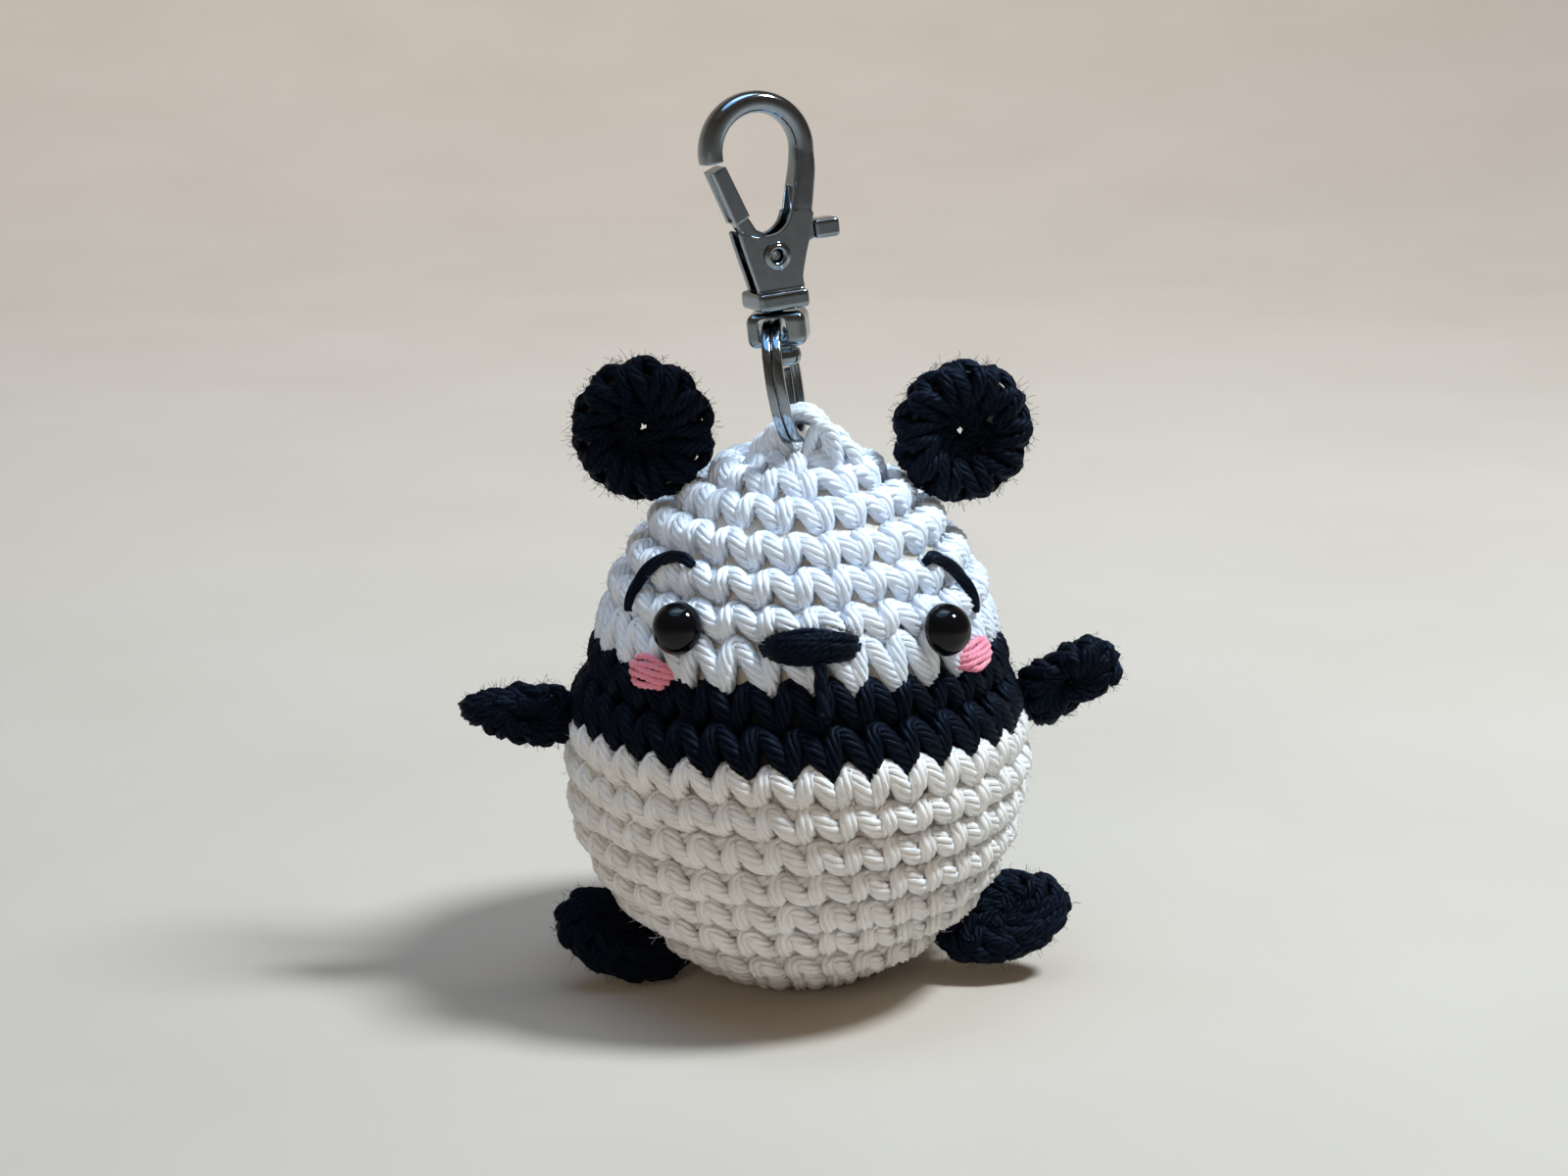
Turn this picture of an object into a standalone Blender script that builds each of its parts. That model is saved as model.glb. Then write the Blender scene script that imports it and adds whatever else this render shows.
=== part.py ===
"""Crocheted panda keychain: a stuffed toy on a split ring and a swivel lobster clasp.

Metres, +Z up. The origin is the centre of the flat spot under the belly. The face looks along -Y,
and left and right are as seen by someone looking at the face.
"""
import math

import bmesh
import bpy
from mathutils import Matrix, Vector

MM = 0.001

# ---- driving dimensions, in millimetres and degrees -------------------------------------------
# body: half outline of the stuffed body, (radius, height) from the flat spot up to the crown
BODY_OUTLINE = [(9.0, 0.0), (13.2, 2.2), (20.3, 7.5), (26.3, 16.5), (28.3, 26.0), (27.7, 34.5),
                (25.1, 42.0), (22.4, 50.5), (17.0, 58.6), (9.5, 64.4), (3.6, 66.1), (0.0, 66.2)]
WALL = 2.4                  # thickness of the crochet fabric
GAP = 0.3                   # clearance between pieces that touch
SEAM_GAP = 0.8              # clearance where an ear or arm flexes on its stitches
FOOT_SEAM_GAP = 1.3
BAND_BOTTOM, BAND_TOP = 32.0, 41.2
BODY_SEGMENTS = 40

# safety eyes
EYES = {"left": (-40.2, 48.5), "right": (39.7, 47.7)}   # places on the body, (azimuth, height)
EYE_RADIUS, EYE_DOME, SHANK_RADIUS, SHANK_LENGTH = 3.1, 3.0, 1.5, 7.0
WASHER_RADIUS, WASHER_THICKNESS = 4.5, 1.2
WASHER_SINK = 0.8           # a flat washer sits this far below the middle of the curved fabric

# embroidery: places on the body as (azimuth, height)
NOSE_PLACE, NOSE_HALF_WIDTH, NOSE_HALF_HEIGHT, NOSE_THICKNESS = (-1.5, 47.5), 5.6, 2.35, 1.4
MOUTH = [(0.4, 44.6), (0.8, 43.0), (1.2, 41.4)]
EYEBROWS = {"eyebrow_left": [(-45.0, 55.2), (-54.5, 55.2), (-62.5, 53.0), (-65.0, 49.2)],
            "eyebrow_right": [(44.5, 55.1), (51.5, 54.3), (57.5, 51.9), (60.0, 48.6)]}
YARN_RADIUS = 0.6
CHEEKS = {"cheek_left": (-49.0, 43.1), "cheek_right": (53.5, 43.8)}
CHEEK_HALF_WIDTH, CHEEK_HALF_HEIGHT, CHEEK_THICKNESS = 3.5, 1.6, 1.1

# ears: flat round pieces; places are the centres of the discs
EAR_RADIUS, EAR_HALF_THICKNESS = 8.6, 2.2
EARS = {"ear_left": {"centre": (-18.5, 0.4, 68.3), "yaw": -8.0},
        "ear_right": {"centre": (19.5, -0.4, 67.2), "yaw": 10.0}}

# arms: each leaves the side of the body at an azimuth and height, and rises at an angle
ARM_REACH, ARM_HALF_HEIGHT, ARM_HALF_DEPTH, ARM_ROOT = 8.8, 3.6, 2.1, 2.7
ARMS = {"arm_left": {"azimuth": -86.0, "height": 34.0, "rise": 9.0},
        "arm_right": {"azimuth": 88.0, "height": 35.2, "rise": 30.0}}

# feet: flat ovals, tilted towards the front, with the outer end raised
FOOT_HALF_LENGTH, FOOT_HALF_WIDTH, FOOT_HALF_THICKNESS = 9.3, 5.9, 2.0
FEET = {"foot_left": {"centre": (-21.8, -4.4, 6.1), "along": (-0.93, 0.05, 0.33)},
        "foot_right": {"centre": (24.8, -6.2, 7.4), "along": (0.96, 0.10, 0.24)}}
FOOT_NORMAL = (0.0, -0.74, 0.67)
FLOOR_CLEARANCE = 0.2

# ring and clasp: everything is placed around the centre of the split ring
RING_CENTRE = (-1.8, -2.3, 74.4)
RING_RADIUS, RING_BAND, RING_WIDTH = 6.85, 1.3, 2.2     # to the middle of the band
RING_YAW, RING_LEAN = -12.0, 10.5
COIL_GAP = 0.14                                         # between the ring's two coils
CROSSING_AT, CROSSING_HALF = 75.0, 12.0                 # where the wire changes coil, on the far side
CLASP_LEAN, CLASP_SPIN = 6.0, 29.0

# yarn loop on the crown that holds the ring
LOOP_CENTRE_X, LOOP_HALF_SPAN, LOOP_YARN_RADIUS, LOOP_DEPTH = 0.4, 3.7, 0.95, 4.0
LOOP_TOP = 71.35

# swivel barrel, heights along the clasp's axis from the ring's centre
BARREL_WIDTH, BARREL_DEPTH, BARREL_BOTTOM, BARREL_TOP = 7.0, 5.4, 4.3, 8.4
WINDOW_LEFT, WINDOW_RIGHT, WINDOW_BOTTOM, WINDOW_TOP = -2.05, 1.25, 5.1, 7.8
KNOB_RADIUS, KNOB_BOTTOM = 2.4, 2.0
STEM_RADIUS, STEM_HOLE, STEM_HEAD_RADIUS, STEM_HEAD_TOP = 0.7, 0.9, 1.0, 11.7

# clasp frame
COLLAR_WIDTH, COLLAR_DEPTH, COLLAR_BOTTOM, COLLAR_TOP = 6.3, 6.5, 8.7, 10.9
PLATE_DEPTH, SLOT_HALF, SLOT_TOP = 4.0, 1.15, 19.0
HOOK_CENTRE, HOOK_RADIUS, HOOK_BAR, HOOK_DEPTH = (-0.5, 27.15), 5.65, 2.6, 3.6
HOOK_TIP_ANGLE = 187.0
RIVET_HEIGHT, RIVET_RADIUS, RIVET_BORE, RIVET_HEAD = 15.0, 0.95, 0.55, 1.65
RIVET_GAP = 0.15
GATE_HALF_DEPTH, GATE_NECK_HALF = 1.7, 0.95
TAB_HALF_DEPTH = 1.6
SPRING_WIRE, SPRING_RADIUS, SPRING_TURNS = 0.2, 1.65, 1.25


# ---- materials ---------------------------------------------------------------------------------
MATERIALS = {
    "white_yarn": ((0.86, 0.87, 0.90), 0.75, 0.0),
    "black_yarn": ((0.010, 0.012, 0.020), 0.80, 0.0),
    "pink_yarn": ((0.85, 0.28, 0.34), 0.70, 0.0),
    "stuffing": ((0.92, 0.92, 0.90), 0.95, 0.0),
    "black_gloss": ((0.006, 0.006, 0.008), 0.08, 0.0),
    "white_nylon": ((0.85, 0.85, 0.82), 0.45, 0.0),
    "nickel": ((0.72, 0.73, 0.75), 0.14, 1.0),
    "spring_steel": ((0.60, 0.60, 0.62), 0.30, 1.0),
}


def material(name, node):
    """Each piece gets its own copy of a base material."""
    color, roughness, metallic = MATERIALS[name]
    made = bpy.data.materials.new(f"{node}_{name}")
    made.use_nodes = True
    shader = made.node_tree.nodes["Principled BSDF"]
    shader.inputs["Base Color"].default_value = (*color, 1.0)
    shader.inputs["Roughness"].default_value = roughness
    shader.inputs["Metallic"].default_value = metallic
    return made


# ---- mesh helpers ------------------------------------------------------------------------------
def add_object(name, bm, finish, matrix=None, smooth_angle=40.0):
    """A closed solid from a bmesh in millimetres; matrix places it, in millimetres too."""
    bmesh.ops.recalc_face_normals(bm, faces=bm.faces)
    mesh = bpy.data.meshes.new(name)
    bm.to_mesh(mesh)
    bm.free()
    if matrix is not None:
        mesh.transform(matrix)
    mesh.transform(Matrix.Scale(MM, 4))
    mesh.shade_smooth()
    mesh.set_sharp_from_angle(angle=math.radians(smooth_angle))
    made = bpy.data.objects.new(name, mesh)
    made.data.materials.append(material(finish, name))
    bpy.context.scene.collection.objects.link(made)
    return made


def lathe(outline, segments):
    """A turned solid about Z. The outline is (radius, height); it may start and end on the axis."""
    bm = bmesh.new()
    rings = []
    for radius, height in outline:
        if radius < 1e-6:
            rings.append([bm.verts.new((0.0, 0.0, height))])
            continue
        angles = [2 * math.pi * i / segments for i in range(segments)]
        rings.append([bm.verts.new((radius * math.cos(a), radius * math.sin(a), height)) for a in angles])
    closed_loop = len(rings[0]) > 1 and len(rings[-1]) > 1
    pairs = list(zip(rings, rings[1:] + rings[:1] if closed_loop else rings[1:]))
    for one, other in pairs:
        join_rings(bm, one, other)
    return bm


def join_rings(bm, one, other):
    """Faces between two rings of vertices; either may be a single pole."""
    count = max(len(one), len(other))
    for i in range(count):
        j = (i + 1) % count
        if len(one) == 1:
            bm.faces.new((one[0], other[i], other[j]))
        elif len(other) == 1:
            bm.faces.new((one[i], other[0], one[j]))
        else:
            bm.faces.new((one[i], other[i], other[j], one[j]))


def loft(rings):
    """A solid through rings of points, which all hold the same number, with flat end caps or poles."""
    bm = bmesh.new()
    made = [[bm.verts.new(point) for point in ring] for ring in rings]
    for one, other in zip(made, made[1:]):
        join_rings(bm, one, other)
    for end in (made[0], made[-1]):
        if len(end) > 1:
            bm.faces.new(end)
    return bm


def tube(points, radius, sides=8, depth=None, closed=False):
    """A round bar along points; depth, where given, is its half size out of the path's plane (Y)."""
    points = [Vector(p) for p in points]
    rings = []
    last = len(points) - 1
    for i, point in enumerate(points):
        if closed:
            ahead = points[(i + 1) % len(points)] - points[i - 1]
        else:
            ahead = points[min(i + 1, last)] - points[max(i - 1, 0)]
        ahead.normalize()
        side = ahead.cross(Vector((0.0, 1.0, 0.0)))
        if side.length < 0.1:
            side = ahead.cross(Vector((1.0, 0.0, 0.0)))
        side.normalize()
        up = side.cross(ahead)
        half = radius if depth is None else depth
        angles = [2 * math.pi * (k + 0.5) / sides for k in range(sides)]
        rings.append([point + side * radius * math.cos(a) + up * half * math.sin(a) for a in angles])
    if not closed:
        return loft(rings)
    bm = bmesh.new()
    made = [[bm.verts.new(p) for p in ring] for ring in rings]
    for one, other in zip(made, made[1:] + made[:1]):
        join_rings(bm, one, other)
    return bm


def prism(outline, half_depth):
    """An outline in the XZ plane, extruded both ways along Y."""
    bm = bmesh.new()
    front = [bm.verts.new((x, -half_depth, z)) for x, z in outline]
    back = [bm.verts.new((x, half_depth, z)) for x, z in outline]
    bm.faces.new(front)
    bm.faces.new(back)
    join_rings(bm, front, back)
    return bm


def box(low, high, bevel=0.0, segments=2):
    """A box between two corners, with rounded edges."""
    bm = bmesh.new()
    bmesh.ops.create_cube(bm, size=1.0)
    size = [b - a for a, b in zip(low, high)]
    middle = [(a + b) / 2 for a, b in zip(low, high)]
    bmesh.ops.scale(bm, vec=size, verts=bm.verts)
    bmesh.ops.translate(bm, vec=middle, verts=bm.verts)
    if bevel:
        bmesh.ops.bevel(bm, geom=bm.edges[:], offset=bevel, segments=segments, profile=0.5, affect="EDGES")
    return bm


def combine(target, others, operation):
    """Applies an exact Boolean of each other object to the target, and removes the others."""
    for other in others:
        modifier = target.modifiers.new("combine", "BOOLEAN")
        modifier.operation = operation
        modifier.solver = "EXACT"
        modifier.object = other
        bpy.context.view_layer.update()
        evaluated = target.evaluated_get(bpy.context.evaluated_depsgraph_get())
        result = bpy.data.meshes.new_from_object(evaluated)
        target.modifiers.clear()
        target.data = result
        bpy.data.objects.remove(other, do_unlink=True)
    merged = bmesh.new()
    merged.from_mesh(target.data)
    bmesh.ops.remove_doubles(merged, verts=merged.verts, dist=1e-6)
    merged.to_mesh(target.data)
    merged.free()
    target.data.materials.clear()
    return target


def finish_combined(target, finish):
    """Gives a solid made by Booleans its material and its shading."""
    target.data.materials.append(material(finish, target.name))
    target.data.shade_smooth()
    target.data.set_sharp_from_angle(angle=math.radians(35.0))
    return target


def rotation(axis, degrees):
    return Matrix.Rotation(math.radians(degrees), 4, axis)


# ---- the body's surface ------------------------------------------------------------------------
def catmull(a, b, c, d, t):
    """A point between b and c on the smooth curve through four points."""
    return 0.5 * ((2 * b) + (c - a) * t + (2 * a - 5 * b + 4 * c - d) * t * t
                  + (3 * b - a - 3 * c + d) * t * t * t)


def body_curve(steps):
    """The body's outline as a smooth curve, from the flat spot's edge to the crown."""
    points = [Vector(p) for p in BODY_OUTLINE]
    before = points[0] * 2 - points[1]
    after = Vector((-points[-2][0], points[-2][1]))
    padded = [before] + points + [after]
    curve = []
    for i in range(len(points) - 1):
        four = padded[i:i + 4]
        curve += [catmull(*four, k / steps) for k in range(steps)]
    curve.append(points[-1])
    return curve


def offset_curve(curve, distance):
    """The outline moved inwards by a distance, square to itself."""
    moved = []
    for i, point in enumerate(curve):
        ahead = curve[min(i + 1, len(curve) - 1)] - curve[max(i - 1, 0)]
        inward = Vector((-ahead[1], ahead[0])).normalized()
        if i == len(curve) - 1:
            inward = Vector((0.0, -1.0))
        place = point + inward * distance
        moved.append(Vector((max(place[0], 0.0), place[1])))
    return moved


FINE_CURVE = body_curve(12)


def body_radius(height):
    """The body's outer radius at a height."""
    for low, high in zip(FINE_CURVE, FINE_CURVE[1:]):
        if low[1] <= height <= high[1]:
            share = (height - low[1]) / max(high[1] - low[1], 1e-9)
            return low[0] + share * (high[0] - low[0])
    return 0.0


def on_body(azimuth, height, lift=0.0):
    """(point, outward normal) on the body; azimuth 0 is the front, positive to the right."""
    step = 0.5
    slope = (body_radius(height + step) - body_radius(height - step)) / (2 * step)
    normal_out, normal_up = 1.0, -slope
    size = math.hypot(normal_out, normal_up)
    angle = math.radians(azimuth)
    across = Vector((math.sin(angle), -math.cos(angle), 0.0))
    normal = (across * normal_out + Vector((0, 0, 1)) * normal_up) / size
    return across * body_radius(height) + Vector((0, 0, height)) + normal * lift, normal


def slice_curve(curve, low, high):
    """The stretch of an outline between two heights, with its ends cut square."""
    inside = [p for p in curve if low + 0.05 < p[1] < high - 0.05]
    return [p for p in [cut_point(curve, low)] + inside + [cut_point(curve, high)] if p[0] > 0.3]


def cut_point(curve, height):
    for low, high in zip(curve, curve[1:]):
        if low[1] <= height <= high[1] and high[1] > low[1]:
            return low.lerp(high, (height - low[1]) / (high[1] - low[1]))
    return curve[0] if height < curve[0][1] else curve[-1]


# ---- body pieces -------------------------------------------------------------------------------
def build_covers():
    """Three crochet covers, open to each other, so the stuffing fills one space."""
    outer = body_curve(2)
    inner = offset_curve(outer, WALL)
    half = GAP / 2
    top = outer[-1][1]
    head_outer = slice_curve(outer, BAND_TOP + half, top)
    head_inner = slice_curve(inner, BAND_TOP + half, top - WALL)
    head = lathe([(0.0, top)] + head_outer[::-1] + head_inner + [(0.0, top - WALL)], BODY_SEGMENTS)
    belly_outer = [(0.0, 0.0)] + slice_curve(outer, 0.0, BAND_BOTTOM - half)
    inner_floor = max(inner[0][1], WALL)
    belly_inner = slice_curve(inner, inner_floor, BAND_BOTTOM - half)
    belly = lathe(belly_outer + belly_inner[::-1] + [(0.0, inner_floor)], BODY_SEGMENTS)
    band_outer = slice_curve(outer, BAND_BOTTOM + half, BAND_TOP - half)
    band_inner = slice_curve(inner, BAND_BOTTOM + half, BAND_TOP - half)
    band = lathe(band_outer + band_inner[::-1], BODY_SEGMENTS)
    covers = {"head_cover": add_object("head_cover", head, "white_yarn"),
              "chest_band": add_object("chest_band", band, "black_yarn"),
              "belly_cover": add_object("belly_cover", belly, "white_yarn")}
    return covers


def build_stuffing():
    """The fibre filling, a little smaller than the space inside the covers."""
    inner = offset_curve(body_curve(2), WALL + GAP)
    floor = WALL + GAP
    inside = slice_curve(inner, floor, inner[-1][1])
    outline = [(0.0, floor)] + inside + [(0.0, inner[-1][1])]
    return add_object("stuffing", lathe(outline, BODY_SEGMENTS), "stuffing")


def swollen_body(distance):
    """A solid a little larger than the body, which trims what is sewn against it."""
    curve = offset_curve(body_curve(2), -distance)
    wide = [p for p in curve if p[0] > 0.3]
    outline = [(0.0, -distance)] + wide + [(0.0, curve[-1][1])]
    return add_object("trim_tool", lathe(outline, BODY_SEGMENTS), "stuffing")


def placed_on_normal(point, normal):
    """A matrix that puts local Z along a normal at a point."""
    return Matrix.Translation(point) @ normal.to_track_quat("Z", "Y").to_matrix().to_4x4()


def eye_outline():
    """A safety eye: a low dome with a rim, and a shank below it."""
    dome = [(EYE_RADIUS * math.sin(a), EYE_DOME * math.cos(a))
            for a in [math.radians(d) for d in (22, 44, 66, 84)]]
    return ([(0.0, EYE_DOME)] + dome
            + [(EYE_RADIUS, -0.3), (SHANK_RADIUS, -0.45), (SHANK_RADIUS, -SHANK_LENGTH + 0.5),
               (SHANK_RADIUS - 0.5, -SHANK_LENGTH), (0.0, -SHANK_LENGTH)])


def build_eyes(head, stuffing):
    """Two safety eyes, each with a nylon washer behind the fabric, and the holes that they need."""
    for name, place in EYES.items():
        seat, normal = on_body(*place, 0.8)
        frame = placed_on_normal(seat, normal)
        add_object(f"eye_{name}", lathe(eye_outline(), 24), "black_gloss", frame)
        washer_top = -(0.8 + WALL + GAP + WASHER_SINK)
        washer_low = washer_top - WASHER_THICKNESS
        hole = SHANK_RADIUS + 0.15
        washer = [(hole, washer_low), (WASHER_RADIUS, washer_low), (WASHER_RADIUS, washer_top),
                  (hole, washer_top)]
        add_object(f"eye_washer_{name}", lathe(washer, 20), "white_nylon", frame)
        through = lathe([(0.0, 2.0), (SHANK_RADIUS + 0.3, 2.0), (SHANK_RADIUS + 0.3, -5.0), (0.0, -5.0)], 16)
        combine(head, [add_object("cutter", through, "stuffing", frame)], "DIFFERENCE")
        pocket = WASHER_RADIUS + GAP
        deep = -SHANK_LENGTH - GAP
        space = lathe([(0.0, 3.0), (pocket, 3.0), (pocket, washer_low - GAP),
                       (SHANK_RADIUS + GAP, washer_low - GAP), (SHANK_RADIUS + GAP, deep), (0.0, deep)], 20)
        combine(stuffing, [add_object("cutter", space, "stuffing", frame)], "DIFFERENCE")


def patch(name, place, half_width, half_height, thickness, finish, tilt=0.0):
    """An embroidered pad: a low oval mound that follows the body."""
    azimuth, height = place
    radius = body_radius(height)
    turn = math.radians(tilt)
    around = 20

    def at(share, angle, lift):
        across = share * half_width * math.cos(angle)
        up = share * half_height * math.sin(angle)
        wide = across * math.cos(turn) - up * math.sin(turn)
        high = across * math.sin(turn) + up * math.cos(turn)
        return on_body(azimuth + math.degrees(wide / radius), height + high, lift)[0]

    angles = [2 * math.pi * k / around for k in range(around)]
    rings = [[at(0.0, 0.0, GAP + 0.1)]]
    rings += [[at(share, a, GAP + 0.1) for a in angles] for share in (0.5, 1.0)]
    for share in (0.95, 0.8, 0.5):
        lift = GAP + 0.1 + thickness * math.sqrt(1 - share ** 2) * 0.9 + 0.1
        rings.append([at(share, a, lift) for a in angles])
    rings.append([at(0.0, 0.0, GAP + 0.1 + thickness)])
    return add_object(name, loft(rings), finish)


def strand(name, places, finish):
    """A single thick yarn lying on the body, through (azimuth, height) places."""
    points = [Vector(p) for p in places]
    padded = [points[0] * 2 - points[1]] + points + [points[-1] * 2 - points[-2]]
    smooth = []
    for i in range(len(points) - 1):
        smooth += [catmull(*padded[i:i + 4], k / 3) for k in range(3)]
    smooth.append(points[-1])
    path = [on_body(a, h, YARN_RADIUS + GAP + 0.1)[0] for a, h in smooth]
    return add_object(name, tube(path, YARN_RADIUS), finish)


def build_face():
    patch("nose", NOSE_PLACE, NOSE_HALF_WIDTH, NOSE_HALF_HEIGHT, NOSE_THICKNESS, "black_yarn")
    strand("mouth_line", MOUTH, "black_yarn")
    for name, places in EYEBROWS.items():
        strand(name, places, "black_yarn")
    for name, place in CHEEKS.items():
        patch(name, place, CHEEK_HALF_WIDTH, CHEEK_HALF_HEIGHT, CHEEK_THICKNESS, "pink_yarn")


# ---- limbs -------------------------------------------------------------------------------------
def pivot_empty(name, place):
    """An empty on a joint's axis, which its moving pieces are parented to."""
    empty = bpy.data.objects.new(name, None)
    empty.empty_display_size = 4 * MM
    empty.location = Vector(place) * MM
    bpy.context.scene.collection.objects.link(empty)
    return empty


def hang(piece, empty):
    """Parents a piece to an empty and leaves it where it is."""
    bpy.context.view_layer.update()
    piece.parent = empty
    piece.matrix_parent_inverse = empty.matrix_world.inverted()


def trim_and_finish(piece, finish, gap):
    combine(piece, [swollen_body(gap)], "DIFFERENCE")
    return finish_combined(piece, finish)


def ear_seam(centre):
    """The point where an ear meets the head: the nearest place on the body's side outline."""
    side = math.copysign(1.0, centre[0])
    places = [Vector((side * p[0], 0.0, p[1])) for p in FINE_CURVE]
    return min(places, key=lambda p: (p - Vector(centre)).length)


def build_ears():
    """Flat round ears, dished on the front, sewn to the head by part of their rims."""
    thick = EAR_HALF_THICKNESS
    outline = [(0.0, -thick * 0.35), (EAR_RADIUS * 0.55, -thick * 0.55), (EAR_RADIUS * 0.84, -thick * 0.95),
               (EAR_RADIUS * 0.96, -thick * 0.55), (EAR_RADIUS, 0.0), (EAR_RADIUS * 0.96, thick * 0.6),
               (EAR_RADIUS * 0.8, thick), (0.0, thick)]
    for name, ear in EARS.items():
        flat_to_front = rotation("X", 90.0)
        frame = Matrix.Translation(ear["centre"]) @ rotation("Z", ear["yaw"]) @ flat_to_front
        bm = lathe([(r, -z) for r, z in outline], 28)
        piece = add_object(name, bm, "black_yarn", frame)
        trim_and_finish(piece, "black_yarn", SEAM_GAP)
        hang(piece, pivot_empty(f"{name}_pivot", ear_seam(ear["centre"])))


def oval_ring(centre, along, half_across, half_thick, across, normal, sides):
    """One cross-section of a limb: an oval square to its length."""
    angles = [2 * math.pi * k / sides for k in range(sides)]
    return [centre + along + across * half_across * math.cos(a) + normal * half_thick * math.sin(a)
            for a in angles]


def build_arms():
    """Leaf-shaped arms with a round root, which turns against the body's side."""
    for name, arm in ARMS.items():
        seat, _ = on_body(arm["azimuth"], arm["height"])
        angle = math.radians(arm["azimuth"])
        level = Vector((math.sin(angle), -math.cos(angle), 0.0))
        pivot = seat + level * (ARM_ROOT + SEAM_GAP)
        rise = math.radians(arm["rise"])
        out = level * math.cos(rise) + Vector((0, 0, 1)) * math.sin(rise)
        across = Vector((0, 0, 1)) * math.cos(rise) - level * math.sin(rise)
        normal = out.cross(across)
        stations = [(-ARM_ROOT * 0.85, 0.5, 0.5), (-ARM_ROOT * 0.45, 0.78, 0.85), (0.8, 0.95, 1.0),
                    (3.4, 1.0, 1.0), (5.6, 0.9, 0.95), (7.4, 0.62, 0.75), (ARM_REACH - 0.4, 0.28, 0.4)]
        rings = [[pivot - out * ARM_ROOT]]
        rings += [oval_ring(pivot, out * s, ARM_HALF_HEIGHT * h, ARM_HALF_DEPTH * t, across, normal, 14)
                  for s, h, t in stations]
        rings.append([pivot + out * ARM_REACH])
        piece = add_object(name, loft(rings), "black_yarn")
        hang(piece, pivot_empty(f"{name}_pivot", pivot))


def foot_frame(foot):
    """(centre, length direction, width direction, normal) of a foot."""
    centre = Vector(foot["centre"])
    along = Vector(foot["along"]).normalized()
    normal = Vector(FOOT_NORMAL)
    normal = (normal - along * normal.dot(along)).normalized()
    return centre, along, normal.cross(along).normalized(), normal


def build_feet():
    """Flat oval feet, tucked under the belly and trimmed to it and to the floor."""
    for name, foot in FEET.items():
        centre, along, across, normal = foot_frame(foot)
        shares = [-0.97, -0.86, -0.66, -0.36, 0.0, 0.36, 0.66, 0.86, 0.97]
        rings = [[centre - along * FOOT_HALF_LENGTH]]
        for share in shares:
            width = FOOT_HALF_WIDTH * math.sqrt(1 - share ** 2)
            thick = FOOT_HALF_THICKNESS * (1 - share ** 4) ** 0.5
            rings.append(oval_ring(centre, along * share * FOOT_HALF_LENGTH, width, thick, across, normal, 14))
        rings.append([centre + along * FOOT_HALF_LENGTH])
        piece = add_object(name, loft(rings), "black_yarn")
        floor = add_object("floor_tool", box((-60, -60, -20), (60, 60, FLOOR_CLEARANCE)), "stuffing")
        combine(piece, [floor], "DIFFERENCE")
        trim_and_finish(piece, "black_yarn", FOOT_SEAM_GAP)
        inner = centre - along * (FOOT_HALF_LENGTH - 3.0)
        hang(piece, pivot_empty(f"{name}_pivot", inner))


# ---- ring and clasp ----------------------------------------------------------------------------
def ring_frame():
    """Local X is the ring's axis, and local Z runs from its centre to its top."""
    return Matrix.Translation(RING_CENTRE) @ rotation("Z", RING_YAW) @ rotation("Y", -RING_LEAN)


def swivel_frame():
    """Local Z is the clasp's long axis, from the ring's centre."""
    return Matrix.Translation(RING_CENTRE) @ rotation("Z", RING_YAW) @ rotation("Y", -CLASP_LEAN)


def clasp_frame_matrix():
    return swivel_frame() @ rotation("Z", CLASP_SPIN)


def build_hanging_loop():
    """A bundle of yarn that arches over the ring and is sewn into the crown."""
    base = BODY_OUTLINE[-1][1] + GAP + 0.05
    rise = LOOP_TOP - LOOP_YARN_RADIUS - base
    arch = []
    for k in range(13):
        angle = math.pi * k / 12
        x = -LOOP_HALF_SPAN * math.cos(angle)
        z = rise * math.sin(angle) ** 0.6
        arch.append((LOOP_CENTRE_X + x, 0.0, base + LOOP_YARN_RADIUS * 0.5 + z))
    place = Matrix.Translation((0.0, RING_CENTRE[1], 0.0)) @ rotation("Z", RING_YAW)
    bm = tube(arch, LOOP_YARN_RADIUS, sides=10, depth=LOOP_DEPTH / 2)
    loop = add_object("hanging_loop", bm, "white_yarn", place)
    crown = swollen_body(GAP)
    combine(loop, [crown], "DIFFERENCE")
    finish_combined(loop, "white_yarn")


def build_ring(pivot):
    """The split ring: one flat wire wound twice round, which crosses from one coil to the other."""
    half_band = RING_BAND / 2
    half_wire = (RING_WIDTH - COIL_GAP) / 4
    shift = RING_WIDTH / 2 - half_wire
    soft = 0.22
    section = [(-half_band + soft, -half_wire), (half_band - soft, -half_wire), (half_band, -half_wire + soft),
               (half_band, half_wire - soft), (half_band - soft, half_wire), (-half_band + soft, half_wire),
               (-half_band, half_wire - soft), (-half_band, -half_wire + soft)]
    steps = 110
    rings = []
    for k in range(steps + 1):
        turn = CROSSING_HALF + (720.0 - 2 * CROSSING_HALF) * k / steps
        share = min(max((turn - 360.0) / CROSSING_HALF, -1.0), 1.0)
        side = shift * math.sin(share * math.pi / 2)
        angle = math.radians(CROSSING_AT + turn)
        rings.append([((RING_RADIUS + r) * math.cos(angle), (RING_RADIUS + r) * math.sin(angle), side + w)
                      for r, w in section])
    turned = ring_frame() @ rotation("Y", 90.0)
    ring = add_object("split_ring", loft(rings), "nickel", turned)
    hang(ring, pivot)


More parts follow.
